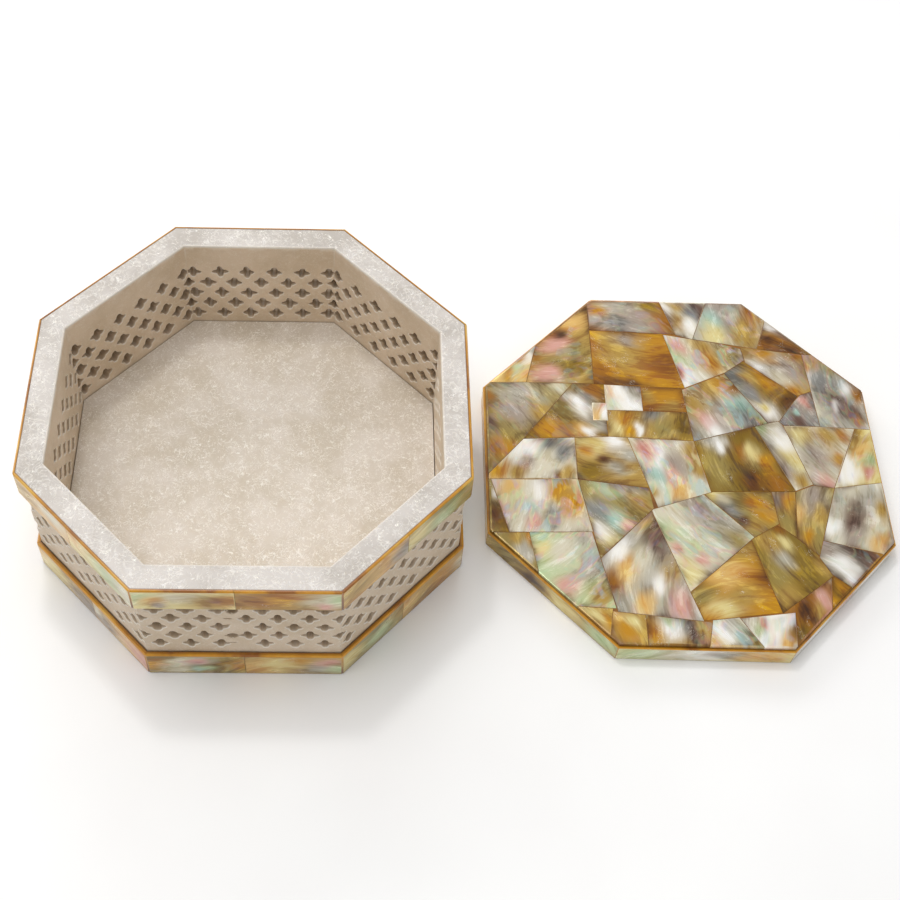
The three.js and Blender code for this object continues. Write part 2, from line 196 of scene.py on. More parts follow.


# Each shard of the lid: its ground tone, the way its growth lines run in degrees, how strong its
# play of colour is, and its patches of other tones, each with a place and a size in millimetres
# from the lid's centre.
# These tones hold painted light as well as the shell's own colours: the white patches are painted
# highlights, and each shard's brightness holds the painted sheen and shade of how it caught the
# light.
SHARDS = (
    ("peach", 45, 0.5, (
        ("mint", -62, 41, 4), ("white", -57, 46, 3), ("gold", -60, 44, 2), ("pearl", -53, 51, 4),
        ("gold", -64, 37, 2))),
    ("sand", 15, 0.4, (
        ("amber", -53, 45, 5), ("amber", -47, 56, 5), ("khaki", -40, 45, 7), ("pink", -45, 52, 4),
        ("pink", -49, 37, 4), ("brown", -43, 57, 2), ("peach", -38, 63, 4), ("brown", -33, 71, 3),
        ("olive", -38, 42, 4))),
    ("amber", -15, 0.35, (
        ("silver", -16, 72, 6), ("silver", -24, 66, 6), ("steel", -17, 62, 5),
        ("lilac", -13, 67, 4), ("gold", -28, 69, 3), ("lilac", -11, 61, 4), ("olive", -7, 73, 4))),
    ("gold", -12, 0.05, (
        ("sand", -20, 54, 6), ("lilac", -17, 55, 3), ("sand", -20, 46, 6), ("brown", -28, 35, 5),
        ("brown", -16, 34, 3), ("amber", 0, 44, 6), ("amber", -28, 40, 4))),
    ("pearl", -58, 0.3, (
        ("white", -2, 71, 3), ("sand", 4, 65, 3), ("sand", 4, 73, 3), ("plum", 13, 72, 4),
        ("steel", 10, 69, 3), ("white", 9, 62, 3), ("lilac", 0, 66, 2))),
    ("silver", -75, 0.35, (
        ("lilac", 21, 70, 5), ("aqua", 18, 65, 4), ("steel", 28, 63, 5), ("cream", 18, 57, 5),
        ("sand", 30, 57, 5), ("sand", 33, 62, 4), ("gold", 36, 70, 4), ("amber", 34, 73, 3))),
    ("sand", -25, 0.1, (
        ("lilac", 46, 61, 4), ("white", 41, 64, 2), ("amber", 42, 55, 5), ("brown", 48, 52, 5),
        ("amber", 37, 55, 4), ("brown", 39, 57, 2))),
    ("pearl", -65, 0.9, (
        ("mint", 0, 50, 6), ("pink", 3, 53, 3), ("white", 5, 37, 4), ("sand", 12, 54, 4),
        ("gold", 15, 45, 4), ("olive", 23, 53, 5), ("khaki", 21, 48, 4), ("pink", 2, 40, 2))),
    ("sand", -45, 0.25, (
        ("white", 35, 43, 4), ("silver", 40, 46, 5), ("lilac", 45, 43, 5), ("pearl", 42, 36, 4),
        ("gold", 46, 32, 3), ("gold", 37, 50, 3), ("amber", 48, 50, 3))),
    ("silver", -78, 0.45, (
        ("pink", 55, 49, 3), ("gold", 53, 45, 3), ("white", 53, 40, 2), ("khaki", 60, 46, 4),
        ("steel", 58, 36, 5), ("plum", 61, 29, 4), ("white", 66, 34, 2), ("white", 62, 25, 2),
        ("pearl", 53, 24, 3), ("plum", 66, 23, 4), ("amber", 71, 31, 3), ("amber", 69, 19, 2))),
    ("olive", -50, 0.1, (
        ("steel", 24, 39, 4), ("steel", 28, 31, 3), ("gold", 36, 38, 5), ("sand", 28, 38, 2),
        ("brown", 44, 27, 4), ("white", 34, 22, 4), ("cream", 33, 25, 2))),
    ("steel", -60, 0.2, (
        ("plum", 46, 19, 3), ("lilac", 49, 26, 4), ("pink", 49, 28, 2), ("aqua", 45, 23, 1))),
    ("silver", -60, 0.8, (
        ("sand", 6, 24, 6), ("gold", 17, 37, 5), ("amber", 24, 34, 4), ("sand", 12, 33, 4),
        ("pink", 11, 17, 3), ("white", 14, 13, 3), ("lilac", 17, 20, 4), ("aqua", 24, 24, 4),
        ("steel", 26, 19, 4), ("olive", 31, 18, 2))),
    ("pearl", -70, 0.5, (
        ("peach", -24, 29, 3), ("mint", -24, 24, 2), ("white", -19, 25, 5), ("silver", -16, 29, 3),
        ("white", -22, 31, 2))),
    ("amber", 0, 0.0, (
        ("sand", -12, 29, 3), ("gold", -3, 29, 4), ("sand", -3, 23, 3))),
    ("sand", 70, 0.1, (
        ("cream", -24, 14, 3), ("gold", -21, 18, 3), ("white", -15, 13, 2), ("steel", -9, 20, 3),
        ("khaki", -6, 14, 4), ("olive", 2, 15, 4), ("gold", -20, 11, 2))),
    ("khaki", -50, 0.3, (
        ("silver", -60, 27, 7), ("lilac", -62, 20, 5), ("gold", -73, 27, 3), ("sand", -52, 20, 4),
        ("plum", -72, 14, 3), ("gold", -66, 3, 4), ("amber", -72, 3, 4), ("pearl", -46, 32, 3))),
    ("olive", -40, 0.25, (
        ("white", -38, 23, 4), ("steel", -34, 28, 3), ("amber", -32, 31, 3), ("gold", -50, 12, 5),
        ("amber", -40, 11, 3), ("silver", -30, 15, 3), ("peach", -36, 12, 3),
        ("khaki", -44, 22, 4), ("white", -34, 12, 2))),
    ("pearl", 65, 0.35, (
        ("white", -58, 4, 6), ("pearl", -54, -3, 4), ("steel", -50, 6, 3), ("steel", -45, 3, 3),
        ("lilac", -60, -4, 3), ("gold", -70, -7, 4), ("sand", -63, -8, 3), ("brown", -48, -9, 2),
        ("sand", -44, -7, 3))),
    ("sand", -8, 0.1, (
        ("cream", -35, 5, 4), ("gold", -36, 3, 2), ("white", -26, 7, 3), ("silver", -21, 2, 3),
        ("olive", -36, -6, 4), ("silver", -25, -5, 3), ("sand", -20, -8, 3),
        ("brown", -30, -1, 2))),
    ("pearl", -75, 1.0, (
        ("aqua", -10, -6, 4), ("white", -10, 2, 4), ("pink", -14, 4, 3), ("lilac", -3, -2, 4),
        ("sand", 4, 3, 4), ("pink", -5, -8, 3), ("peach", -3, -14, 4), ("sand", -14, -15, 2),
        ("sand", 6, -4, 3))),
    ("olive", -72, 0.05, (
        ("silver", 12, 8, 4), ("white", 14, 7, 2), ("khaki", 12, -3, 5), ("amber", 22, 4, 3),
        ("cream", 26, 3, 3), ("gold", 31, 0, 3), ("brown", 25, -9, 4), ("amber", 33, -10, 4))),
    ("pearl", -62, 0.1, (
        ("silver", 32, 8, 4), ("white", 39, 9, 4), ("cream", 41, 0, 4), ("lilac", 37, -3, 4),
        ("mint", 30, 15, 2), ("sand", 43, -9, 3))),
    ("pearl", -55, 0.2, (
        ("sand", 46, 14, 4), ("cream", 45, 12, 3), ("lilac", 50, 3, 5), ("gold", 61, 13, 3),
        ("gold", 58, 2, 3), ("pink", 52, -8, 3), ("sand", 55, 12, 3))),
    ("cream", 70, 0.6, (
        ("white", 60, 3, 4), ("white", 60, -4, 5), ("peach", 67, 6, 3), ("mint", 70, 1, 2),
        ("pink", 68, -3, 2), ("sand", 68, 14, 3), ("sand", 63, 10, 3))),
    ("pearl", 80, 0.9, (
        ("peach", -66, -14, 4), ("mint", -64, -20, 3), ("aqua", -58, -24, 3),
        ("white", -54, -14, 3), ("sand", -46, -16, 6), ("gold", -42, -20, 4),
        ("steel", -50, -26, 3), ("gold", -48, -14, 3), ("pink", -58, -28, 3))),
    ("khaki", -70, 0.1, (
        ("white", -70, -17, 2), ("olive", -68, -29, 5), ("brown", -72, -25, 3))),
    ("khaki", -45, 0.4, (
        ("steel", -34, -23, 4), ("mint", -31, -12, 4), ("silver", -22, -13, 4),
        ("sand", -18, -18, 3), ("white", -33, -32, 3), ("aqua", -28, -26, 3),
        ("pink", -22, -30, 2), ("cream", -29, -36, 3))),
    ("khaki", -80, 0.1, (
        ("gold", -59, -34, 2), ("silver", -61, -40, 3), ("sand", -64, -34, 2))),
    ("mint", 40, 0.8, (
        ("pearl", -47, -39, 5), ("silver", -38, -34, 4), ("lilac", -36, -45, 5),
        ("pink", -46, -53, 4), ("sand", -35, -57, 4), ("silver", -42, -48, 3),
        ("cream", -56, -40, 3))),
    ("silver", 80, 0.25, (
        ("sand", -17, -27, 4), ("white", -28, -38, 4), ("plum", -14, -35, 5),
        ("pearl", -20, -42, 4), ("sand", -10, -47, 4), ("peach", -26, -47, 4),
        ("amber", -31, -52, 3), ("white", -14, -52, 3), ("steel", -19, -54, 2),
        ("peach", -20, -60, 4), ("pink", -7, -60, 4))),
    ("pearl", -45, 0.6, (
        ("mint", -9, -31, 4), ("pink", -7, -37, 2), ("lilac", 4, -22, 5), ("silver", 9, -30, 5),
        ("khaki", 15, -32, 4), ("mint", 0, -38, 3), ("pink", 2, -42, 2), ("cream", -3, -47, 4),
        ("silver", 12, -25, 4))),
    ("khaki", -25, 0.1, (
        ("cream", 9, -15, 3), ("steel", 14, -20, 3), ("gold", 25, -17, 3), ("gold", 27, -23, 3),
        ("brown", 18, -25, 2), ("plum", 20, -28, 2), ("sand", 24, -28, 3), ("pearl", 12, -17, 2))),
    ("sand", -85, 0.1, (
        ("lilac", 32, -16, 3), ("gold", 37, -16, 2), ("khaki", 35, -26, 3))),
    ("khaki", 78, 0.1, (
        ("peach", 39, -22, 3), ("lilac", 46, -15, 5), ("sand", 40, -33, 4), ("gold", 42, -31, 2),
        ("sand", 47, -22, 3))),
    ("pearl", 75, 0.3, (
        ("brown", 62, -20, 4), ("plum", 59, -26, 4), ("white", 51, -27, 3), ("silver", 66, -16, 4),
        ("silver", 55, -16, 3), ("sand", 71, -20, 3), ("lilac", 58, -32, 3),
        ("peach", 67, -33, 3))),
    ("silver", -35, 0.4, (
        ("white", 52, -42, 4), ("plum", 59, -36, 5), ("plum", 62, -40, 3), ("gold", 66, -37, 2),
        ("white", 55, -48, 2), ("lilac", 47, -36, 3))),
    ("olive", -60, 0.05, (
        ("silver", 31, -41, 3), ("sand", 26, -33, 4), ("cream", 33, -34, 2), ("amber", 31, -28, 2),
        ("sand", 32, -56, 5), ("sand", 45, -44, 3), ("khaki", 28, -47, 4))),
    ("gold", 10, 0.05, (
        ("peach", 10, -47, 5), ("sand", 17, -37, 4), ("khaki", 0, -56, 4), ("amber", 24, -50, 4),
        ("cream", 8, -61, 4), ("brown", -2, -52, 2), ("sand", 14, -56, 4))),
    ("olive", -55, 0.0, (
        ("gold", 51, -50, 3), ("gold", 46, -57, 3))),
    ("amber", -75, 0.1, (
        ("brown", 36, -61, 3), ("pink", 43, -56, 3), ("pearl", 47, -48, 2), ("olive", 34, -70, 3),
        ("sand", 41, -60, 2))),
    ("sand", -40, 0.1, (
        ("cream", -41, -60, 3), ("gold", -34, -66, 2), ("cream", -38, -64, 2))),
    ("sand", -60, 0.15, (
        ("peach", -30, -64, 3), ("gold", -27, -71, 3), ("cream", -25, -66, 2))),
    ("sand", 88, 0.45, (
        ("white", -12, -67, 4), ("mint", -13, -65, 2), ("steel", -6, -67, 3), ("plum", -4, -72, 3),
        ("gold", -19, -70, 3), ("sand", 0, -67, 2))),
    ("pearl", -50, 0.7, (
        ("peach", 2, -72, 3), ("white", 5, -68, 3), ("aqua", 13, -71, 3), ("silver", 9, -66, 3),
        ("khaki", 17, -73, 3))),
    ("white", 80, 0.6, (
        ("pearl", 16, -66, 3), ("mint", 18, -68, 2), ("white", 25, -68, 4), ("pink", 20, -65, 2),
        ("sand", 31, -70, 3), ("peach", 28, -74, 3))),
)
# A small bright piece let into a flaw of one shard: its lowest and highest corner, and its looks.
PATCHED_SHARD, PATCH = 18, ((-32.8, 16.6), (-27.2, 24.6))
PATCH_SEED, PATCH_LOOK = 51, ("pearl", 70, 0.6, (("pink", -29, 22, 2), ("peach", -31, 19, 2),
                                                 ("white", -28, 20, 2)))

# The strips that show most: the same facts as for the shards, with each patch placed from the
# strip's middle, seen from outside. A fifth number says how many times longer than wide a patch
# is. The rest of the strips are cut from the spare shells in turn.
# As on the shards, these tones hold painted sheen and shade as well as the shell's own colours.
STRIPS = {
    "top_strip_front_1": ("cream", 5, 0.2, (
        ("mint", -13, 1, 4), ("peach", -9, -1, 3), ("lilac", -8, -3, 2), ("pearl", -1, 2, 4),
        ("sand", 8, -2, 5), ("amber", 16, 0, 4))),
    "top_strip_front_2": ("sand", 4, 0.1, (
        ("amber", -9, 0, 6), ("gold", 0, 3, 4), ("pearl", 13, 1, 5), ("mint", 16, 2, 3),
        ("pink", 12, -3, 2))),
    "top_strip_front_left_1": ("peach", 3, 0.1, (("sand", -10, 0, 5), ("pearl", 6, 2, 5))),
    "top_strip_front_left_2": ("cream", 3, 0.2, (
        ("mint", 6, -1, 6), ("peach", -14, 2, 4), ("pearl", 14, 0, 5))),
    "foot_strip_front_1": ("khaki", 20, 0.35, (
        ("gold", -15, 0, 4), ("pearl", -3, 2, 4), ("pink", 0, 2, 2), ("aqua", 2, -3, 2),
        ("mint", 5, -2, 2), ("pearl", -7, -3, 3), ("olive", 10, 2, 3), ("gold", 16, 0, 4))),
    "foot_strip_front_2": ("sand", 8, 0.15, (
        ("peach", -12, -1, 6), ("cream", -4, 2, 5), ("gold", 2, 4, 3), ("silver", 9, -3, 4),
        ("pink", 12, 1, 3), ("mint", 15, -3, 3))),
    "foot_strip_front_left_1": ("sand", 4, 0.1, (
        ("cream", -8, 0, 6), ("lilac", 12, -2, 6), ("peach", -16, 2, 4))),
    "foot_strip_front_left_2": ("peach", 4, 0.15, (
        ("lilac", -8, -2, 5), ("pearl", -15, 2, 4), ("pink", 12, 0, 6))),
    "lid_strip_front_1": ("cream", 3, 0.3, (
        ("mint", -20, 0, 5, 2.5), ("pearl", -8, 0, 6), ("white", 2, 0, 5), ("lilac", 10, 1, 3, 3),
        ("peach", 20, 0, 5))),
    "lid_strip_front_left_1": ("sand", 3, 0.1, (
        ("khaki", -22, 0, 6), ("brown", -8, 0, 3), ("cream", 6, 0, 5), ("mint", 24, 0, 5))),
    "lid_strip_front_right_1": ("pearl", 3, 0.2, (
        ("white", -18, 0, 6), ("pink", 0, 0, 4), ("white", 16, 0, 6))),
}
SPARE_STRIPS = (
    ("khaki", 5, 0.3, (("cream", -12, 1, 6), ("mint", 4, -1, 5), ("sand", 18, 0, 6))),
    ("sand", 8, 0.2, (("peach", -16, 1, 6), ("gold", 6, 0, 6), ("pearl", 20, -2, 5))),
    ("pearl", -4, 0.5, (("pink", -14, -1, 4), ("mint", -2, 2, 5), ("khaki", 16, 0, 7))),
    ("peach", 4, 0.15, (("sand", -8, 0, 6), ("lilac", 14, -2, 5))),
)


# ---------------------------------------------------------------- shapes

# The sine of the smallest turn that counts as a corner.
NEARLY_STRAIGHT = 1e-3


def level_hull(points):
    """The corners, anticlockwise from above, of the octagon or shard that plan points span."""
    plan = [Vector((x, y)) for x, y, *_ in points]
    hull = [plan[index] for index in convex_hull_2d(plan)]
    loop = [here for before, here in zip(hull[-1:] + hull, hull) if (here - before).length > TINY]
    if sum(a.cross(b) for a, b in zip(loop, loop[1:] + loop[:1])) < 0:
        loop.reverse()
    corners = []
    for before, here, after in zip(loop[-1:] + loop[:-1], loop, loop[1:] + loop[:1]):
        turn = (here - before).normalized().cross((after - here).normalized())
        if turn > NEARLY_STRAIGHT:
            corners.append(here)
    return corners


def vertices(node):
    """The corners of a CAD node, which lie where the object has them."""
    return [vertex.co.copy() for vertex in frame["nodes"][node].data.vertices]


def sides_of(corners):
    """The octagon's sides clockwise from above, the back one first. Each is the middle of the
    side, the direction to the right of one who faces it from outside, the way it faces, and its
    length."""
    found = []
    for start, end in zip(corners, corners[1:] + corners[:1]):
        right = (end - start).normalized()
        found.append(((start + end) / 2, right, Vector((right.y, -right.x)), (end - start).length))
    found.reverse()
    first = max(range(8), key=lambda side: found[side][2].y)
    return found[first:] + found[:first]


def facing(middle, right, outward, height):
    """The matrix that puts a flat piece on a side: its X to the right, its Y up, its Z outwards."""
    return Matrix((
        (right.x, 0, outward.x, middle.x),
        (right.y, 0, outward.y, middle.y),
        (0, 1, 0, height),
        (0, 0, 0, 1),
    ))


def shrunk(outline, distances):
    """A convex anticlockwise outline with each of its edges moved in by its own distance."""
    count = len(outline)
    lines = []
    for index in range(count):
        start, end = outline[index], outline[(index + 1) % count]
        inward = Vector((start.y - end.y, end.x - start.x)).normalized()
        lines.append((inward, inward.dot(start) + distances[index]))
    corners = []
    for index in range(count):
        (a, to_a), (b, to_b) = lines[index - 1], lines[index]
        corners.append(Vector((to_a * b.y - to_b * a.y, to_b * a.x - to_a * b.x)) / a.cross(b))
    return corners


def within(points, loop):
    """Which of the points lie inside a loop, both as rows of x and y."""
    x, y = points[:, 0, None], points[:, 1, None]
    start, end = loop, np.roll(loop, -1, axis=0)
    spans = (start[:, 1] > y) != (end[:, 1] > y)
    rise = np.where(end[:, 1] == start[:, 1], 1, end[:, 1] - start[:, 1])
    crossing = start[:, 0] + (y - start[:, 1]) / rise * (end[:, 0] - start[:, 0])
    return (spans & (x < crossing)).sum(axis=1) % 2 == 1


def sheet(outline, holes, spacing):
    """Fills a flat outline with small triangles round its holes. Returns the points, those of
    the outline and then of each hole first, and the triangles."""
    loops = [np.array(outline, float), *[np.array(hole, float) for hole in holes]]
    rim = np.concatenate(loops)
    low, high = loops[0].min(axis=0), loops[0].max(axis=0)
    steps = [np.arange(low[axis] + spacing / 2, high[axis], spacing) for axis in (0, 1)]
    grid = np.stack(np.meshgrid(*steps), axis=-1)
    grid[1::2, :, 0] += spacing / 2
    grid = grid.reshape(-1, 2)
    grid = grid[within(grid, loops[0])]
    for loop in loops[1:]:
        grid = grid[~within(grid, loop)]
    # Points nearer to an outline than about half a spacing would make slivers.
    clear = np.array([np.min(np.sum((rim - point) ** 2, axis=1)) for point in grid])
    grid = grid[clear > (0.55 * spacing) ** 2]
    edges, first = [], 0
    for loop in loops:
        edges += [(first + i, first + (i + 1) % len(loop)) for i in range(len(loop))]
        first += len(loop)
    points = np.concatenate([rim, grid])
    made = delaunay_2d_cdt([Vector(point) for point in points], edges, [], 0, 1e-9)
    places = np.array([tuple(point) for point in made[0]])
    faces = np.array(made[2])
    centres = places[faces].mean(axis=1)
    keep = within(centres, loops[0])
    for loop in loops[1:]:
        keep &= ~within(centres, loop)
    return places, faces[keep]


def finished(name, builder, slots, place=None):
    """Turns a bmesh into a piece of the object, its faces out and its sharp edges sharp."""
    bmesh.ops.remove_doubles(builder, verts=builder.verts, dist=WELD)
    bmesh.ops.recalc_face_normals(builder, faces=builder.faces)
    for face in builder.faces:
        face.smooth = True
    for edge in builder.edges:
        edge.smooth = edge.is_manifold and edge.calc_face_angle() < SHARP
    mesh = bpy.data.meshes.new(name)
    builder.to_mesh(mesh)
    builder.free()
    if place is not None:
        mesh.transform(place)
    for material in slots:
        mesh.materials.append(material)
    piece = bpy.data.objects.new(name, mesh)
    bpy.context.scene.collection.objects.link(piece)
    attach(piece, "root")
    return piece


def mark(mesh, name, values, kind="FLOAT", field="value"):
    """Writes a value at each corner of a mesh, for its material to read by name."""
    layer = mesh.attributes.new(name, kind, "POINT")
    layer.data.foreach_set(field, np.asarray(values, np.float32).ravel())


def wavy(x, y, z, size, seed=0.0):
    """A smooth random height from -1 to 1 with waves of about the given size."""
    return noise.noise(Vector((x / size + seed, y / size - seed, z / size)))


# ---------------------------------------------------------------- materials

def add(tree, kind, inputs=None, stops=None, **settings):
    """A node with its settings, the values or sockets that feed it, and a ramp's stops."""
    node = tree.nodes.new("ShaderNode" + kind)
    for setting, value in settings.items():
        setattr(node, setting, value)
    for socket, value in (inputs or {}).items():
        if isinstance(value, bpy.types.NodeSocket):
            tree.links.new(value, node.inputs[socket])
        else:
            node.inputs[socket].default_value = value
    if stops:
        ramp = node.color_ramp
        while len(ramp.elements) < len(stops):
            ramp.elements.new(1)
        for element, (position, tone) in zip(ramp.elements, stops):
            element.position = position
            element.color = tone
    return node


def begun(name):
    """A new material, its tree, and its shader already joined to the output."""
    material = bpy.data.materials.new(name)
    material.use_nodes = True
    tree = material.node_tree
    tree.nodes.clear()
    shader = add(tree, "BsdfPrincipled")
    add(tree, "OutputMaterial", {"Surface": shader.outputs["BSDF"]})
    return material, tree, shader


def per(millimetres):
    """The scale at which a pattern in metres repeats about once in so many millimetres."""
    return 1 / (millimetres * MM)


def threads(tree, field, thick, share):
    """Thin curled lines, which lie along where a warped noise crosses its middle."""
    away = add(tree, "Math", {0: field, 1: 0.5}, operation="SUBTRACT")
    away = add(tree, "Math", {0: away.outputs[0]}, operation="ABSOLUTE")
    return add(tree, "MapRange", {"Value": away.outputs[0], "From Max": thick, "To Min": share,
                                  "To Max": 0}, interpolation_type="SMOOTHSTEP").outputs[0]


def marble(name, clear, dense, stone, fibres, roughness):
    """Dense, slightly see-through marble full of fine curled fossil crystals. Its crystals show as
    pale threads where it is sawn or honed, and hardly at all where it is carved. Each of the
    layers of threads has the size of its curls in millimetres, how thick its threads are, and
    how strongly they show."""
    material, tree, shader = begun(name)
    spot = add(tree, "TexCoord").outputs["Object"]
    clouds = add(tree, "TexNoise", {"Vector": spot, "Scale": per(20), "Detail": 6,
                                    "Roughness": 0.62})
    surface = add(tree, "ValToRGB", {"Fac": clouds.outputs["Fac"]}, stops=(
        (0.40, clear), (0.60, dense),
    )).outputs["Color"]
    relief = None
    for size, thick, bend, share in fibres:
        field = add(tree, "TexNoise", {"Vector": spot, "Scale": per(size), "Detail": 1.5,
                                       "Roughness": 0.4, "Distortion": bend})
        thread = threads(tree, field.outputs["Fac"], thick, share)
        broken = add(tree, "TexNoise", {"Vector": spot, "Scale": per(size * 1.1), "Detail": 3})
        broken = add(tree, "MapRange", {"Value": broken.outputs["Fac"], "From Min": 0.44,
                                        "From Max": 0.54})
        thread = add(tree, "Math", {0: thread, 1: broken.outputs[0]}, operation="MULTIPLY")
        surface = add(tree, "Mix", {"Factor": thread.outputs[0], "A": surface, "B": stone.fibre},
                      data_type="RGBA").outputs["Result"]
        relief = thread.outputs[0] if relief is None else add(
            tree, "Math", {0: relief, 1: thread.outputs[0]}, operation="MAXIMUM").outputs[0]
    grain = add(tree, "TexNoise", {"Vector": spot, "Scale": per(1.1), "Detail": 3, "Roughness": 0.7})
    pits = add(tree, "MapRange", {"Value": grain.outputs["Fac"], "From Min": 0.70, "From Max": 0.78,
                                  "To Max": 0.45})
    surface = add(tree, "Mix", {"Factor": pits.outputs[0], "A": surface, "B": stone.hollow},
                  data_type="RGBA").outputs["Result"]
    # Painted shade far into the holes, in the false starts and over the outer faces, and a painted
    # highlight on the rounded edges of the holes and on the rim's inner edge.
    for layer, tone, share in (("deep", stone.hollow, 0.8), ("wear", stone.highlit, 0.85)):
        marked = add(tree, "Attribute", attribute_name=layer).outputs["Fac"]
        marked = add(tree, "Math", {0: marked, 1: share}, operation="MULTIPLY")
        surface = add(tree, "Mix", {"Factor": marked.outputs[0], "A": surface, "B": tone},
                      data_type="RGBA").outputs["Result"]
    tree.links.new(surface, shader.inputs["Base Color"])
    rough = add(tree, "MapRange", {"Value": clouds.outputs["Fac"], "From Min": 0.3, "From Max": 0.7,
                                   "To Min": roughness - 0.07, "To Max": roughness + 0.07})
    tree.links.new(rough.outputs[0], shader.inputs["Roughness"])
    height = add(tree, "Math", {0: relief, 1: grain.outputs["Fac"]}, operation="ADD")
    bump = add(tree, "Bump", {"Height": height.outputs[0], "Strength": 0.5, "Distance": 0.07 * MM})
    tree.links.new(bump.outputs["Normal"], shader.inputs["Normal"])
    shader.inputs["IOR"].default_value = 1.49
    shader.inputs["Subsurface Weight"].default_value = 0.15
    shader.inputs["Subsurface Radius"].default_value = (1.0, 0.8, 0.55)
    shader.inputs["Subsurface Scale"].default_value = 1.5 * MM
    return material


def carved_marble(stone):
    """Marble as the chisel leaves it on walls and in holes: smooth, warm and nearly plain."""
    fibres = ((2.8, 0.05, 2.2, 0.22), (1.6, 0.06, 1.6, 0.16))
    return marble("Carved marble", stone.vein, stone.wall, stone, fibres, 0.55)


def honed_marble(stone):
    """The rim, rubbed flat and fine: pale, with soft threads and the odd bright crystal."""
    fibres = ((6.5, 0.050, 3.0, 0.32), (3.6, 0.050, 2.4, 0.36), (2.2, 0.020, 1.4, 0.9))
    return marble("Honed marble", stone.smoke, stone.polish, stone, fibres, 0.34)


def sawn_marble(stone):
    """The floor, sawn and rubbed: thick with pale curled threads like cut straw."""
    fibres = ((5.2, 0.024, 3.4, 0.7), (3.6, 0.032, 2.6, 0.65), (2.4, 0.036, 1.8, 0.5))
    return marble("Sawn marble", stone.cloud, stone.floor, stone, fibres, 0.5)


def polished_nacre():
    """Mother-of-pearl ground flat and polished under a clear varnish. Its layers of aragonite give
    soft swells with a faint silky grain over them, and a play of pink and green. The swells' sheen
    is painted into its colour, as painted highlights where they are brightest and painted shade
    where they are dullest."""
    material, tree, shader = begun("Polished mother-of-pearl")
    tone = add(tree, "Attribute", attribute_name="tone").outputs["Color"]
    fire = add(tree, "Attribute", attribute_name="fire").outputs["Fac"]
    growth = add(tree, "Attribute", attribute_name="growth").outputs["Vector"]

    def streaks(along, across, detail, distortion, offset=0.0):
        """A noise drawn out along the growth lines, its waves so many millimetres long and wide."""
        lines = add(tree, "Mapping", {"Vector": growth, "Scale": (1 / along, 1 / across, 1),
                                      "Location": (offset, -offset, offset)})
        return add(tree, "TexNoise", {"Vector": lines.outputs[0], "Scale": 1, "Detail": detail,
                                      "Roughness": 0.55, "Distortion": distortion}).outputs["Fac"]

    silk = streaks(9, 0.8, 2, 0.4)
    swell = streaks(17, 8, 5, 1.3, 5.3)
    lustre = add(tree, "Mix", {"Factor": 0.74, "A": silk, "B": swell}).outputs["Result"]
    # Painted shade: where the swells are dullest, the tone is multiplied by itself, which makes it
    # darker and richer.
    shade = add(tree, "MapRange", {"Value": lustre, "From Min": 0.39, "From Max": 0.51,
                                   "To Min": 0.62, "To Max": 0}, interpolation_type="SMOOTHSTEP")
    deep = add(tree, "Mix", {"Factor": shade.outputs[0], "A": tone, "B": tone},
               data_type="RGBA", blend_type="MULTIPLY")
    play = add(tree, "ValToRGB", {"Fac": streaks(12, 5, 1, 0.9, 2.9)}, stops=(
        (0.36, linear("#a5cdd0")), (0.43, linear("#b2d8a8")), (0.49, linear("#ece0ac")),
        (0.55, linear("#e9a89c")), (0.61, linear("#c3acd0")), (0.68, linear("#a9c8d6")),
    ))
    patchy = add(tree, "MapRange", {"Value": streaks(9, 6, 2, 0.8, 8.1), "From Min": 0.47,
                                    "From Max": 0.60, "To Max": 0.42},
                 interpolation_type="SMOOTHSTEP")
    patchy = add(tree, "Math", {0: patchy.outputs[0], 1: fire}, operation="MULTIPLY")
    pearly = add(tree, "Mix", {"Factor": patchy.outputs[0], "A": deep.outputs["Result"],
                               "B": play.outputs["Color"]}, data_type="RGBA")
    # Painted highlight: the brightest swells are screened with their own tone, so that gold stays
    # gold.
    glow = add(tree, "MapRange", {"Value": lustre, "From Min": 0.54, "From Max": 0.63,
                                  "To Max": 0.8}, interpolation_type="SMOOTHSTEP")
    bright = add(tree, "Mix", {"Factor": glow.outputs[0], "A": pearly.outputs["Result"],
                               "B": pearly.outputs["Result"]}, data_type="RGBA", blend_type="SCREEN")
    # Here and there a flaw in the layers flashes white, as short hooked ticks: painted glints.
    glint = threads(tree, streaks(3.4, 1.5, 1, 2.2, 3.3), 0.022, 0.5)
    sparse = add(tree, "MapRange", {"Value": streaks(6, 5, 1, 0.5, 6.7), "From Min": 0.61,
                                    "From Max": 0.68})
    glint = add(tree, "Math", {0: glint, 1: sparse.outputs[0]}, operation="MULTIPLY")
    flashed = add(tree, "Mix", {"Factor": glint.outputs[0], "A": bright.outputs["Result"],
                                "B": linear("#fbf4e2")}, data_type="RGBA")
    tree.links.new(flashed.outputs["Result"], shader.inputs["Base Color"])
    rough = add(tree, "MapRange", {"Value": lustre, "From Min": 0.35, "From Max": 0.65,
                                   "To Min": 0.42, "To Max": 0.26})
    tree.links.new(rough.outputs[0], shader.inputs["Roughness"])
    bump = add(tree, "Bump", {"Height": lustre, "Strength": 0.3, "Distance": 0.6 * MM})
    tree.links.new(bump.outputs["Normal"], shader.inputs["Normal"])
    shader.inputs["Metallic"].default_value = 0.3
    shader.inputs["IOR"].default_value = 1.53
    shader.inputs["Specular IOR Level"].default_value = 0.35
    shader.inputs["Coat Weight"].default_value = 0.25
    shader.inputs["Coat Roughness"].default_value = 0.06
    shader.inputs["Coat IOR"].default_value = 1.5
    return material


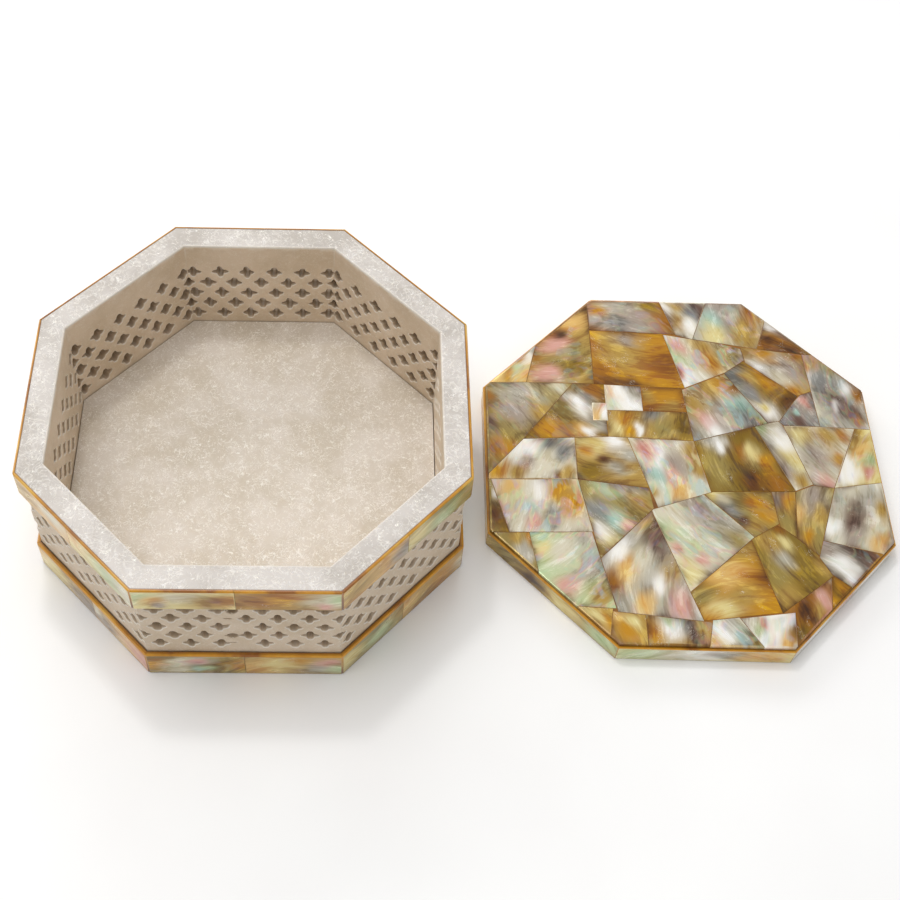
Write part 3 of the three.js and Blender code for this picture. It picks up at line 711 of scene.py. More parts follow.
def shell_edge():
    """The sawn edge of the same shell, a clear amber horn brown where its layers are cut through,
    and darkest where adhesive has soaked in along the back and along the foot, where the dark is
    painted shade."""
    material, tree, shader = begun("Sawn amber shell edge")
    spot = add(tree, "TexCoord").outputs["Object"]
    long = add(tree, "TexNoise", {"Vector": spot, "Scale": per(14), "Detail": 3, "Roughness": 0.6})
    amber = add(tree, "ValToRGB", {"Fac": long.outputs["Fac"]}, stops=(
        (0.36, linear("#9a5c06")), (0.44, linear("#c48606")), (0.56, linear("#d8980a")),
        (0.68, linear("#e2b144")),
    ))
    # Dark brown where adhesive has soaked in at the back, and painted shade along the foot.
    glue = add(tree, "Attribute", attribute_name="glue").outputs["Fac"]
    stained_and_shaded = add(tree, "Mix", {"Factor": glue, "A": amber.outputs["Color"], "B": linear("#6b3a04")},
                  data_type="RGBA")
    tree.links.new(stained_and_shaded.outputs["Result"], shader.inputs["Base Color"])
    grain = add(tree, "TexNoise", {"Vector": spot, "Scale": per(1.2), "Detail": 3})
    rough = add(tree, "MapRange", {"Value": grain.outputs["Fac"], "To Min": 0.25, "To Max": 0.45})
    tree.links.new(rough.outputs[0], shader.inputs["Roughness"])
    shader.inputs["Subsurface Weight"].default_value = 0.2
    shader.inputs["Subsurface Radius"].default_value = (1.0, 0.5, 0.15)
    shader.inputs["Subsurface Scale"].default_value = 1.5 * MM
    shader.inputs["Coat Weight"].default_value = 0.5
    shader.inputs["Coat Roughness"].default_value = 0.08
    return material


def tinted_resin():
    """The brown resin that the shards are bedded in, which fills the joints between them."""
    material, tree, shader = begun("Tinted bedding resin")
    spot = add(tree, "TexCoord").outputs["Object"]
    depth = add(tree, "TexNoise", {"Vector": spot, "Scale": per(9), "Detail": 3})
    body = add(tree, "ValToRGB", {"Fac": depth.outputs["Fac"]}, stops=(
        (0.35, linear("#6b3f0c")), (0.65, linear("#a06a18")),
    ))
    tree.links.new(body.outputs["Color"], shader.inputs["Base Color"])
    shader.inputs["Roughness"].default_value = 0.35
    return material


def sweep_paper():
    """A sheet of matt white background paper."""
    material, tree, shader = begun("Matt white sweep")
    spot = add(tree, "TexCoord").outputs["Object"]
    tooth = add(tree, "TexNoise", {"Vector": spot, "Scale": per(60), "Detail": 2})
    body = add(tree, "ValToRGB", {"Fac": tooth.outputs["Fac"]}, stops=(
        (0.3, linear("#f8f7f6")), (0.7, linear("#fbfbfa")),
    ))
    tree.links.new(body.outputs["Color"], shader.inputs["Base Color"])
    shader.inputs["Roughness"].default_value = 0.55
    return material


def once(name, make, *facts):
    """A material that several operators share, made the first time it is asked for."""
    return bpy.data.materials.get(name) or make(*facts)


# ---------------------------------------------------------------- the marble

# How blunt the ends of the ovals are, where 2 would be a plain ellipse, and how sharply a hole's
# two ovals meet.
UPRIGHT_BLUNTNESS, LEVEL_BLUNTNESS, PIT_BLUNTNESS, CREASE = 2.6, 1.8, 1.7, 11


def oval(angles, across, up, bluntness):
    """How far the edge of a blunt oval lies from its middle at each angle."""
    return ((np.abs(np.cos(angles)) / across) ** bluntness
            + (np.abs(np.sin(angles)) / up) ** bluntness) ** (-1 / bluntness)


def lobed(sizes, angles, hand):
    """How far a hole's edge lies from its middle at each angle. An upright oval and a level one
    merge into four lobes, and the carver's hand makes each hole a little different."""
    turned = angles + 0.05 * hand.gauss(0, 1)
    upright = oval(turned, sizes.upright * (1 + 0.07 * hand.gauss(0, 1)),
                   sizes.tall * (1 + 0.05 * hand.gauss(0, 1)), UPRIGHT_BLUNTNESS)
    level = oval(turned, sizes.wide * (1 + 0.05 * hand.gauss(0, 1)),
                 sizes.level * (1 + 0.10 * hand.gauss(0, 1)), LEVEL_BLUNTNESS)
    return (upright ** CREASE + level ** CREASE) ** (1 / CREASE)


def flared(near, far, radius):
    """Depths through a wall, with how much wider a hole is at each: it flares at both faces."""
    turns = [math.radians(angle) for angle in (0, 30, 60, 90)]
    sign = 1 if far > near else -1
    inward = [(near + sign * radius * (1 - math.cos(t)), radius * (1 - math.sin(t))) for t in turns]
    outward = [(far - sign * radius * (1 - math.cos(t)), radius * (1 - math.sin(t))) for t in turns]
    return inward + [((near + far) / 2, 0.0)] + outward[::-1]


# Where the carver of the front wall strayed between its two groups of holes: false starts, each
# with its row, its place right of the wall's middle and above its row, its half width and half
# height, and its depth, in millimetres; and one hole with a spur towards the right.
FALSE_STARTS = (
    (0, -2.6, 0.0, 2.0, 2.3, 2.2),
    (1, -4.1, 0.3, 1.6, 0.42, 0.5),
    (3, -3.2, 0.0, 1.9, 1.7, 1.0),
    (3, -5.2, -0.1, 0.8, 0.35, 0.4),
    (4, -3.5, 0.9, 1.7, 0.3, 0.3),
)
# A false start's shape from its edge to its floor, in shares of its width and of its depth.
PIT_PROFILE = ((1.12, 0), (1.03, 0.08), (0.97, 0.3), (0.85, 0.65), (0.6, 0.9), (0.3, 1))
SPUR_ROW, SPUR_HOLE, SPUR_ANGLE, SPUR_SPREAD, SPUR_LENGTH = 2, 3, 152, 13, 2.1
# How many of a hole's rings, from the outer face inwards, the spur reaches.
SPUR_RINGS = 4
# How many corners go round a hole, a half hole and a false start, and along the rim.
HOLE_POINTS, HALF_HOLE_POINTS, PIT_POINTS, RIM_POINTS = 40, 17, 28, 48
# The half holes on the octagon's corners are smaller than the rest, and drawn out along the wall.
HALF_HOLE_SIZE, HALF_HOLE_REACH = 0.82, 1.08
# How far the carver's hand slips along a row, and up or down, from one hole to another.
SLIP_ALONG, SLIP_UP = 0.12 * MM, 0.10 * MM
# The least marble between a hole and a mitre, how far the shoulder's foot stays above that of the
# strips which hide it, and the bevel along the rim's outer edge.
LAND, SHOULDER_CLEARANCE, RIM_BEVEL = 0.15 * MM, 0.3 * MM, 0.15 * MM
# How far in millimetres the chisel's strokes stray, and how long they are.
STROKES = ((0.09, 7 * MM), (0.04, 2.2 * MM))
# The strokes fade out this near a mitre, and this far into a hole.
STILL_END, STILL_DEPTH = 2 * MM, 1.5 * MM
# Painted shade starts at this depth in a hole, and is darkest this much deeper.
SHADE_START, SHADE_RUN = 0.3 * MM, 1.6 * MM


class Panel:
    """One pierced wall panel, worked lying along X with its outer face towards +Y."""

    def __init__(self, side, sizes, band_foot):
        self.side, self.sizes = side, sizes
        angle = math.pi / 2 - side * math.pi / 4
        outward = Vector((math.cos(angle), math.sin(angle)))
        along = Vector((outward.y, -outward.x))
        local = [(p.xy.dot(along), p.xy.dot(outward), p.z) for p in vertices("wall_" + SIDES[side])]
        self.outer = max(y for x, y, z in local)
        self.inner = min(y for x, y, z in local)
        self.bottom = min(z for x, y, z in local)
        self.top = max(z for x, y, z in local)
        self.shoulder_foot = band_foot + SHOULDER_CLEARANCE
        self.spans = [[pick(x for x, y, z in local if abs(y - face) < TINY) for pick in (min, max)]
                      for face in (self.inner, self.outer)]
        self.turn = Matrix((
            (along.x, outward.x, 0, 0),
            (along.y, outward.y, 0, 0),
            (0, 0, 1, 0),
            (0, 0, 0, 1),
        ))
        self.builder = bmesh.new()

    def end(self, which, y):
        """Where the panel's left or right mitre lies at a depth."""
        share = (y - self.inner) / (self.outer - self.inner)
        straight = self.spans[0][which] + share * (self.spans[1][which] - self.spans[0][which])
        return straight + (self.sizes.closing if which else -self.sizes.closing)

    def row_height(self, row, y):
        """The height of a row's middle at a depth: the holes tip down outwards."""
        middle = (self.outer + self.inner) / 2
        return (self.sizes.top_row - row * self.sizes.row_spacing
                + math.tan(self.sizes.slope) * (middle - y))

    def face(self, corners, slot=0):
        """One face of the skin, carved in slot 0 or honed in slot 1."""
        made = self.builder.faces.new([self.builder.verts.new(corner) for corner in corners])
        made.material_index = slot

    def tube(self, rings, closed=True):
        """The skin between each ring and the next."""
        for near, far in zip(rings, rings[1:]):
            for i in range(len(near) if closed else len(near) - 1):
                j = (i + 1) % len(near)
                self.face((near[i], near[j], far[j], far[i]))

    def plan_holes(self):
        """The rings of each hole from the outer face to the inner one, and of the half holes that
        meet at the panel's two mitres."""
        sizes, front = self.sizes, SIDES[self.side] == "front"
        hand = random.Random(self.side)
        full = np.linspace(0, 2 * math.pi, HOLE_POINTS, endpoint=False)
        half = np.linspace(-math.pi / 2, math.pi / 2, HALF_HOLE_POINTS)
        depths = flared(self.outer, self.inner, sizes.fillet)
        middle_y = (self.outer + self.inner) / 2
        middle_x = (self.end(0, middle_y) + self.end(1, middle_y)) / 2
        spare = sizes.spare if front else 0
        holes, notches = [], ([], [])
        for row in range(sizes.rows):
            on_corners = row % 2 == 1
            for count in range(2 * sizes.per_half - (1 if on_corners else 0)):
                step = count - sizes.per_half + (1 if on_corners else 0.5)
                x = middle_x + step * sizes.pitch + (-spare if step <= 0 else spare)
                radii = lobed(sizes, full, hand)
                x += SLIP_ALONG * hand.gauss(0, 1)
                rise = SLIP_UP * hand.gauss(0, 1)
                rings = []
                for level, (y, grown) in enumerate(depths):
                    reach = radii + grown
                    if front and (row, count) == (SPUR_ROW, SPUR_HOLE) and level < SPUR_RINGS:
                        away = (full - math.radians(SPUR_ANGLE)) / math.radians(SPUR_SPREAD)
                        reach = reach + SPUR_LENGTH * MM * np.exp(-away ** 2)
                    z = self.row_height(row, y) + rise
                    left, right = self.end(0, y) + LAND, self.end(1, y) - LAND
                    rings.append([
                        (min(right, max(left, x + r * math.cos(a))), y, z + r * math.sin(a))
                        for r, a in zip(reach, full)
                    ])
                holes.append(rings)
            if not on_corners:
                continue
            for which in (0, 1):
                # The panels on both sides of a corner draw the same half hole.
                corner = random.Random(1000 + 10 * ((self.side + which) % 8) + row)
                radii = HALF_HOLE_SIZE * lobed(sizes, half, corner)
                rings = []
                for y, grown in depths:
                    z = self.row_height(row, y)
                    inwards = -HALF_HOLE_REACH if which else HALF_HOLE_REACH
                    rings.append([(self.end(which, y) + inwards * (r + grown) * math.cos(a), y,
                                   z + (r + grown) * math.sin(a)) for r, a in zip(radii, half)])
                notches[which].append(rings)
        return holes, notches

    def plan_pits(self):
        """The front wall's false starts, as rings that close in towards a floor."""
        pits = []
        turn = np.linspace(0, 2 * math.pi, PIT_POINTS, endpoint=False)
        for row, right, up, across, high, depth in FALSE_STARTS:
            x, z = -right * MM, self.row_height(row, self.outer) + up * MM
            rings = []
            for share, down in PIT_PROFILE:
                y = self.outer - down * depth * MM
                reach = oval(turn, across * MM * share, high * MM * share, PIT_BLUNTNESS)
                rings.append([(x + r * math.cos(a), y, z + r * math.sin(a))
                              for r, a in zip(reach, turn)])
            pits.append(rings)
        return pits

    def in_pit(self, x, y, z):
        """How much painted shade darkens a false start at a point, more towards its floor, or 0
        outside them all.
        """
        if SIDES[self.side] != "front" or y > self.outer - TINY:
            return 0
        for row, right, up, across, high, depth in FALSE_STARTS:
            level = self.row_height(row, self.outer) + up * MM
            if (abs(x + right * MM) < across * MM and abs(z - level) < high * MM
                    and self.outer - y < (depth + 0.05) * MM):
                return min(1, 0.5 + 0.5 * (self.outer - y) / MM)
        return 0

    def build(self):
        """Works both faces, the holes and false starts between them, the rim and the ends."""
        holes, notches = self.plan_holes()
        pits = self.plan_pits() if SIDES[self.side] == "front" else []
        steps = range(RIM_POINTS + 1)
        for y, ring, high in ((self.outer, 0, self.shoulder_foot),
                              (self.inner, -1, self.top - self.sizes.arris)):
            left, right = self.end(0, y), self.end(1, y)
            outline = [(left + (right - left) * i / RIM_POINTS, self.bottom) for i in steps]
            for rings in reversed(notches[1]):
                outline += [(x, z) for x, _, z in rings[ring]]
            outline += [(right - (right - left) * i / RIM_POINTS, high) for i in steps]
            for rings in notches[0]:
                outline += [(x, z) for x, _, z in reversed(rings[ring])]
            openings = holes + pits if ring == 0 else holes
            openings = [[(x, z) for x, _, z in rings[ring]] for rings in openings]
            places, faces = sheet(outline, openings, WALL_MESH)
            corners = [self.builder.verts.new((x, y, z)) for x, z in places]
            for triangle in faces:
                self.builder.faces.new([corners[index] for index in triangle])
        for rings in holes:
            self.tube(rings)
        for rings in notches[0] + notches[1]:
            self.tube(rings, closed=False)
        for rings in pits:
            self.tube(rings)
            self.face(rings[-1])
        self.build_rim()
        self.cap_ends(notches)

    def rim_profile(self):
        """The panel's outline over its top: the shoulder that comes out behind the strips, the
        honed rim, and its worn inner edge."""
        lip, arris = self.outer + self.sizes.shoulder, self.sizes.arris
        profile = [(self.outer, self.shoulder_foot), (lip, self.shoulder_foot),
                   (lip, self.top - RIM_BEVEL), (lip - RIM_BEVEL, self.top)]
        for share in (0.2, 0.4, 0.6, 0.8):
            profile.append((lip + (self.inner + arris - lip) * share, self.top))
        for turn in (0, 30, 60, 90):
            t = math.radians(turn)
            profile.append((self.inner + arris * (1 - math.sin(t)),
                            self.top - arris * (1 - math.cos(t))))
        return profile

    def build_rim(self):
        """The skin along the rim's profile, whose shoulder is carved and the rest honed, and the
        panel's underside."""
        profile = self.rim_profile()
        pairs = enumerate(zip(profile, profile[1:]))
        strips = [(*pair, 0 if index < 2 else 1) for index, pair in pairs]
        strips.append(((self.inner, self.bottom), (self.outer, self.bottom), 0))
        for (y0, z0), (y1, z1), slot in strips:
            for i in range(RIM_POINTS):
                rows = [[self.end(0, y) + (self.end(1, y) - self.end(0, y)) * k / RIM_POINTS
                         for k in (i, i + 1)] for y in (y0, y1)]
                self.face(((rows[0][0], y0, z0), (rows[0][1], y0, z0),
                           (rows[1][1], y1, z1), (rows[1][0], y1, z1)), slot)

    def cap_ends(self, notches):
        """The two mitred ends, between the half holes."""
        for which in (0, 1):
            below = [(self.end(which, self.outer), self.outer, self.bottom),
                     (self.end(which, self.inner), self.inner, self.bottom)]
            for rings in sorted(notches[which], key=lambda rings: rings[0][0][2]):
                self.face([*(ring[0] for ring in rings), *reversed(below)])
                below = [ring[-1] for ring in rings]
            over = [(self.end(which, y), y, z) for y, z in self.rim_profile()]
            self.face([*over, *reversed(below)])

    def weather(self):
        """Lets the carver's hand show, with faces and a rim that roll by a few hundredths of a
        millimetre, and returns each corner's share of painted highlight, on the rounded edges of the
        holes and the rim, and of painted shade, far into the holes and false starts and over the
        outer faces."""
        wear, deep = [], []
        for vertex in self.builder.verts:
            x, y, z = vertex.co
            spot = self.turn @ vertex.co
            roll = MM * sum(height * wavy(*spot, size) for height, size in STROKES)
            inset = min(abs(self.outer - y), abs(y - self.inner))
            from_end = min(abs(x - self.end(0, y)), abs(x - self.end(1, y)))
            on_rim = z > self.top - self.sizes.arris - TINY or y > self.outer + TINY
            if z > self.top - TINY:
                vertex.co.z -= 0.5 * abs(roll)
            elif not on_rim:
                still = min(1, from_end / STILL_END) * max(0, 1 - inset / STILL_DEPTH)
                vertex.co.y += roll * still * (1 if y < (self.outer + self.inner) / 2 else -1)
            # A painted highlight on the rounded edges of the holes, fainter on the rim's inner edge.
            rounded = TINY < inset < 0.95 * self.sizes.fillet and not on_rim
            arris = on_rim and y < self.inner + self.sizes.arris and z < self.top - TINY
            pitted = self.in_pit(x, y, z)
            wear.append(0.0 if pitted else 1.0 if rounded else 0.6 if arris else 0.0)
            # Painted shade: a little over the outer half of the wall, and more the further into a
            # hole.
            outer_shade = self.sizes.outer_shade if y > (self.outer + self.inner) / 2 else 0.0
            within = min(1, outer_shade + max(0, inset - SHADE_START) / SHADE_RUN)
            deep.append(pitted or (0.0 if on_rim else within))
        return wear, deep


class MARBLE_OT_walls(bpy.types.Operator):
    """Carve the eight pierced wall panels"""
    bl_idname = "marble_box.walls"
    bl_label = "Carve Walls"

    def execute(self, context):
        box = context.scene.marble_box
        slots = (once("Carved marble", carved_marble, box.stone),
                 once("Honed marble", honed_marble, box.stone))
        band_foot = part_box("top_band")[0].z
        for side, name in enumerate(SIDES):
            panel = Panel(side, box.lattice, band_foot)
            panel.build()
            bmesh.ops.remove_doubles(panel.builder, verts=panel.builder.verts, dist=WELD)
            wear, deep = panel.weather()
            wall = finished(f"pierced_wall_{name}", panel.builder, slots, panel.turn)
            mark(wall.data, "wear", wear)
            mark(wall.data, "deep", deep)
            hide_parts("wall_" + name)
        return {"FINISHED"}


# ---------------------------------------------------------------- flat polished pieces

# Near its edges a shard's crown dies away over the first, and it waves over the second.
CROWN_EDGE, CROWN_WAVE = 2.5 * MM, 9 * MM


def slab(front, back, thickness, chamfers, depth, spacing, crown=0.0, seed=0.0):
    """A flat piece with its polished face up at height 0. Each edge of the front outline is
    chamfered by its own width and all by one depth, and the back outline lies a thickness below.
    The face is slot 0, and the chamfers and sides are slot 1."""
    face_outline = shrunk(front, chamfers)
    places, faces = sheet([tuple(p) for p in face_outline], [], spacing)
    builder = bmesh.new()
    loop = np.array([tuple(p) for p in face_outline])
    corners = []
    for x, y in places:
        near = 1.0
        for start, end in zip(loop, np.roll(loop, -1, axis=0)):
            run = end - start
            gap = abs(run[0] * (y - start[1]) - run[1] * (x - start[0])) / math.hypot(*run)
            near = min(near, gap / CROWN_EDGE)
        corners.append(builder.verts.new((x, y, crown * near * wavy(x, y, 0, CROWN_WAVE, seed))))
    for triangle in faces:
        builder.faces.new([corners[index] for index in triangle]).material_index = 0
    rings = [[(*p, 0) for p in face_outline], [(*p, -depth) for p in front],
             [(*p, -thickness) for p in back]]
    for upper, lower in zip(rings, rings[1:]):
        for i in range(len(upper)):
            j = (i + 1) % len(upper)
            quad = (upper[i], upper[j], lower[j], lower[i])
            builder.faces.new([builder.verts.new(corner) for corner in quad]).material_index = 1
    builder.faces.new([builder.verts.new(corner) for corner in rings[-1]]).material_index = 1
    return builder


# How a patch's edge strays, along the growth lines and then across them: in millimetres, each
# wave's height, its length along and across the lines, and where it starts.
STRAYING = (
    ((2.8, 8, 4, 0), (0.7, 3, 1.4, 4.5)),
    ((1.7, 9, 5, 9.5), (0.5, 5, 1.5, 19.5)),
)
# Growth lines bow to one side or the other, and a patch is this much longer than wide.
BOWS, USUAL_STRETCH = (-0.009, 0.012), 1.5


def tint(piece, look, tones, inverse, seed, outline=None):
    """Writes a shell's looks into its mesh: its tone at each place, the coordinates along and
    across its growth lines in millimetres, and the strength of its play of colour."""
    ground, angle, fire, patches = look
    mesh = piece.data
    count = len(mesh.vertices)
    spots = np.array([tuple(inverse @ vertex.co) for vertex in mesh.vertices])[:, :2] / MM
    turn = math.radians(angle)
    to_lines = np.array(((math.cos(turn), -math.sin(turn)), (math.sin(turn), math.cos(turn))))
    lines = spots @ to_lines
    middle = lines.mean(axis=0)
    bent = lines.copy()
    bent[:, 1] += BOWS[seed % 2] * (lines[:, 0] - middle[0]) ** 2
    # Each shell's seed keeps its pattern apart from those of the rest.
    growth = np.column_stack((bent, np.full(count, 13.7 * seed)))
    warp = np.array([
        [sum(height * noise.noise(Vector((u / along, v / across, seed + start)))
             for height, along, across, start in waves) for waves in STRAYING]
        for u, v in bent
    ])
    stirred = lines + warp
    colours = np.tile(np.array(getattr(tones, ground)[:]), (count, 1))
    for tone, x, y, size, *stretched in patches:
        stretch = stretched[0] if stretched else USUAL_STRETCH
        away = stirred - np.array((x, y)) @ to_lines
        reach = (away[:, 0] / (stretch * size)) ** 2 + (away[:, 1] / size) ** 2
        share = np.exp(-0.8 * reach ** 1.4)[:, None]
        colours += share * (np.array(getattr(tones, tone)[:]) - colours)
    # Near its edges a shard darkens brown, partly from the resin below and partly as painted shade.
    if outline:
        colours += resin_and_edge_shade(spots, outline, seed) * (np.array(tones.brown[:]) - colours)
    mark(mesh, "tone", colours, "FLOAT_COLOR", "color")
    mark(mesh, "growth", growth, "FLOAT_VECTOR", "vector")
    mark(mesh, "fire", np.full(count, fire))


def resin_and_edge_shade(spots, outline, seed):
    """How strongly a shard is darkened brown near its edges, partly by the bedding resin showing
    through its thin and cracked edges and partly as painted shade along its bevels: over about a
    millimetre from them, and only here and there."""
    loop = np.array([tuple(p) for p in outline]) / MM
    near = np.full(len(spots), 9.0)
    for start, end in zip(loop, np.roll(loop, -1, axis=0)):
        run = (end - start) / math.hypot(*(end - start))
        gap = run[0] * (spots[:, 1] - start[1]) - run[1] * (spots[:, 0] - start[0])
        near = np.minimum(near, np.abs(gap))
    rough = np.array([noise.noise(Vector((x / 9, y / 9, seed + 31))) for x, y in spots])
    return (np.exp(-near / 1.3) * np.clip(0.15 + 1.8 * rough, 0, 0.8))[:, None]


def nacre_materials():
    """The polished face and the sawn edge of the shell."""
    return (once("Polished mother-of-pearl", polished_nacre),
            once("Sawn amber shell edge", shell_edge))


# Half the joint between two strips of a side, how far it strays from the side's middle, and how far
# up a strip the painted shade of its foot reaches.
JOINT, SPLIT_STRAY, FOOT_SHADE = 0.03 * MM, 1.6 * MM, 0.3 * MM
# The chamfers of the strips on the box and on the lid: their widths at the foot, the top and the
# octagon's corners, and their depth; and how thick the strips round the rim are.
BOX_EDGES = (0.22 * MM, 0.6 * MM, 0.42 * MM, 0.42 * MM)
LID_EDGES = (0.15 * MM, 0.2 * MM, 0.15 * MM, 0.15 * MM)
RIM_STRIP = 0.95 * MM


def banded(context, node, prefix, looks_from, edges, per_side, thickness=None):
    """Cuts a band of the frame into one or two strips a side, mitred at the corners. A strip is as
    thick as the band's ring unless it is given a thickness, and the spare looks start from the
    one whose number is given."""
    tones = context.scene.marble_box.nacre
    points = vertices(node)
    corners = level_hull(points)
    low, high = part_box(node)
    foot_edge, top_edge, corner_edge, cut_back = edges
    if thickness is None:
        hollow = level_hull([p for p in points if min((p.xy - c).length for c in corners) > TINY])
        thickness = min((a - b).length for a in corners for b in hollow) * math.cos(MITRE)
    half = (high.z - low.z) / 2
    mitre = thickness * math.tan(MITRE)
    for side, (middle, right, outward, width) in enumerate(sides_of(corners)):
        hand = random.Random(f"{prefix}{side}")
        split = SPLIT_STRAY * hand.uniform(-1, 1)
        spans = ((-width / 2, split - JOINT), (split + JOINT, width / 2))
        if per_side == 1:
            spans = ((-width / 2, width / 2),)
        for number, (start, end) in enumerate(spans, 1):
            at_start, at_end = number == 1, number == len(spans)
            back_start = start + mitre * at_start
            back_end = end - mitre * at_end
            front = [Vector(p) for p in ((start, -half), (end, -half), (end, half), (start, half))]
            back = [Vector(p) for p in ((back_start, -half), (back_end, -half),
                                        (back_end, half), (back_start, half))]
            chamfers = (foot_edge, corner_edge if at_end else JOINT,
                        top_edge, corner_edge if at_start else JOINT)
            builder = slab(front, back, thickness, chamfers, cut_back, STRIP_MESH)
            place = facing(middle, right, outward, (low.z + high.z) / 2)
            name = f"{prefix}_{SIDES[side]}_{number}"
            strip = finished(name, builder, nacre_materials(), place)
            order = looks_from + 2 * side + number
            look = STRIPS.get(name, SPARE_STRIPS[order % len(SPARE_STRIPS)])
            centre = Matrix.Translation(((start + end) / 2, 0, 0))
            tint(strip, look, tones, (place @ centre).inverted(), order)
            stain_and_shade(strip, place.inverted(), thickness)
            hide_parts(node)


def stain_and_shade(piece, inverse, thickness):
    """Marks where adhesive has soaked into a strip along its back, and the painted shade along its
    foot.
    """
    spots = [inverse @ vertex.co for vertex in piece.data.vertices]
    foot = min(spot.y for spot in spots) + FOOT_SHADE
    mark(piece.data, "glue", [
        1.0 if spot.y < foot else 0.8 * max(0.0, -spot.z / thickness) ** 3 for spot in spots
    ])


def dress(node, material):
    """Gives a slab of the frame its material."""
    slab_mesh = frame["nodes"][node].data
    slab_mesh.materials.clear()
    slab_mesh.materials.append(material)


class MARBLE_OT_floor(bpy.types.Operator):
    """Give the slab whose middle is the floor of the box its sawn marble"""
    bl_idname = "marble_box.floor"
    bl_label = "Lay Floor"

    def execute(self, context):
        dress("base", once("Sawn marble", sawn_marble, context.scene.marble_box.stone))
        return {"FINISHED"}


class MARBLE_OT_bands(bpy.types.Operator):
    """Veneer the rim and the foot with strips of mother-of-pearl"""
    bl_idname = "marble_box.bands"
    bl_label = "Veneer Bands"

    def execute(self, context):
        banded(context, "top_band", "top_strip", 0, BOX_EDGES, 2, RIM_STRIP)
        banded(context, "foot_band", "foot_strip", 17, BOX_EDGES, 2)
        return {"FINISHED"}


class MARBLE_OT_lid(bpy.types.Operator):
    """Edge the lid's marble plate with strips of mother-of-pearl"""
    bl_idname = "marble_box.lid"
    bl_label = "Edge Lid"

    def execute(self, context):
        dress("lid_core", once("Carved marble", carved_marble, context.scene.marble_box.stone))
        banded(context, "lid_band", "lid_strip", 34, LID_EDGES, 1)
        return {"FINISHED"}


# The chamfers of the shards, wide along the lid's rim, within so far of it, and hardly there at
# the joints; how deep they are; how far each shard is ground past the solid's outline, which
# leaves a hairline joint; and how much its face crowns.
RIM_CHAMFER, AT_RIM, JOINT_CHAMFER, SHARD_CHAMFER_DEPTH = 0.45 * MM, 1.5 * MM, 0.06 * MM, 0.10 * MM
SHARD_SPREAD, SHARD_CROWN = 0.09 * MM, 0.05 * MM
# How far the resin stays inside the lid's rim, and below the shards' faces.
RESIN_INSET, RESIN_SINK = 1.3 * MM, 0.1 * MM
# The mend's thickness, the width and depth of its chamfers, and how far it stands proud.
PATCH_SIZES = (0.6 * MM, [0.1 * MM] * 4, 0.05 * MM)
PATCH_PROUD = 0.06 * MM


class MARBLE_OT_mosaic(bpy.types.Operator):
    """Lay the lid's mosaic of mother-of-pearl shards in its bed of resin"""
    bl_idname = "marble_box.mosaic"
    bl_label = "Lay Mosaic"

    def execute(self, context):
        tones = context.scene.marble_box.nacre
        edge = level_hull(vertices("lid_band"))
        sides = sides_of(edge)
        slots = {row["node"]: row["material_slot"] for row in frame["record"]["subparts"]}
        mounts = {mount["name"]: mount for mount in frame["record"]["mounts"]}
        centre = Vector(mounts["lid_underside"]["pos_m"][:2])
        # To the right of one who faces the back side from outside is the lid's left.
        right = sides[0][1] * -1
        turn = Matrix.Rotation(math.atan2(right.y, right.x), 4, "Z")
        low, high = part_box("shard_01")
        from_lid = Matrix.Translation((*centre, high.z)) @ turn
        to_lid = from_lid.inverted()
        face = nacre_materials()[0]
        for number, look in enumerate(SHARDS, 1):
            node = f"shard_{number:02d}"
            outline = [(to_lid @ Vector((*p, high.z))).xy for p in level_hull(vertices(node))]
            chamfers = []
            for start, end in zip(outline, outline[1:] + outline[:1]):
                middle = from_lid @ Vector((*((start + end) / 2), 0))
                rim = min(abs((middle.xy - m).dot(out)) for m, _, out, _ in sides)
                chamfers.append(RIM_CHAMFER if rim < AT_RIM else JOINT_CHAMFER)
            ground = shrunk(outline, [-SHARD_SPREAD] * len(outline))
            builder = slab(ground, ground, high.z - low.z, chamfers, SHARD_CHAMFER_DEPTH,
                           SHARD_MESH, SHARD_CROWN, number)
            shard = finished(node + "_polished", builder, (face, face), from_lid)
            tint(shard, look, tones, to_lid, number, outline)
            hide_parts(node)
        self.let_in_patch(tones, from_lid, slots)
        self.pour_resin(edge, low.z, high.z)
        return {"FINISHED"}

    def let_in_patch(self, tones, from_lid, slots):
        """The small mend in one shard, set a hair proud of it."""
        (x0, y0), (x1, y1) = PATCH
        outline = [Vector(p) * MM for p in ((x0, y0), (x1, y0), (x1, y1), (x0, y1))]
        builder = slab(outline, outline, *PATCH_SIZES, PATCH_MESH)
        raised = from_lid @ Matrix.Translation((0, 0, PATCH_PROUD))
        patch = finished("shard_patch", builder, (nacre_materials()[0],) * 2, raised)
        tint(patch, PATCH_LOOK, tones, from_lid.inverted(), PATCH_SEED)

    def pour_resin(self, edge, bottom, top):
        """The bed between the shards, just below their faces."""
        inner = shrunk(edge, [RESIN_INSET] * 8)
        builder = bmesh.new()
        rings = [[(*p, z) for p in inner] for z in (bottom, top - RESIN_SINK)]
        for i in range(8):
            j = (i + 1) % 8
            quad = (rings[0][i], rings[0][j], rings[1][j], rings[1][i])
            builder.faces.new([builder.verts.new(corner) for corner in quad])
        for ring in rings:
            builder.faces.new([builder.verts.new(corner) for corner in ring])
        bed = finished("resin_bed", builder, (once("Tinted bedding resin", tinted_resin),))


# ---------------------------------------------------------------- the studio

# Each lamp, the setting that holds its power, its place from the middle of the object and the
# size of its face, in metres; and half the width of the sweep.
LAMPS = (
    ("overhead_softbox", "overhead", (-0.3, 0.05, 1.1), (0.8, 0.7)),
    ("key_lamp", "key", (-0.2, 0.3, 1.05), (0.1, 0.1)),
    ("rear_softbox", "rear", (-0.25, 0.9, 0.62), (1.4, 0.35)),
)
SWEEP_REACH = 3.0


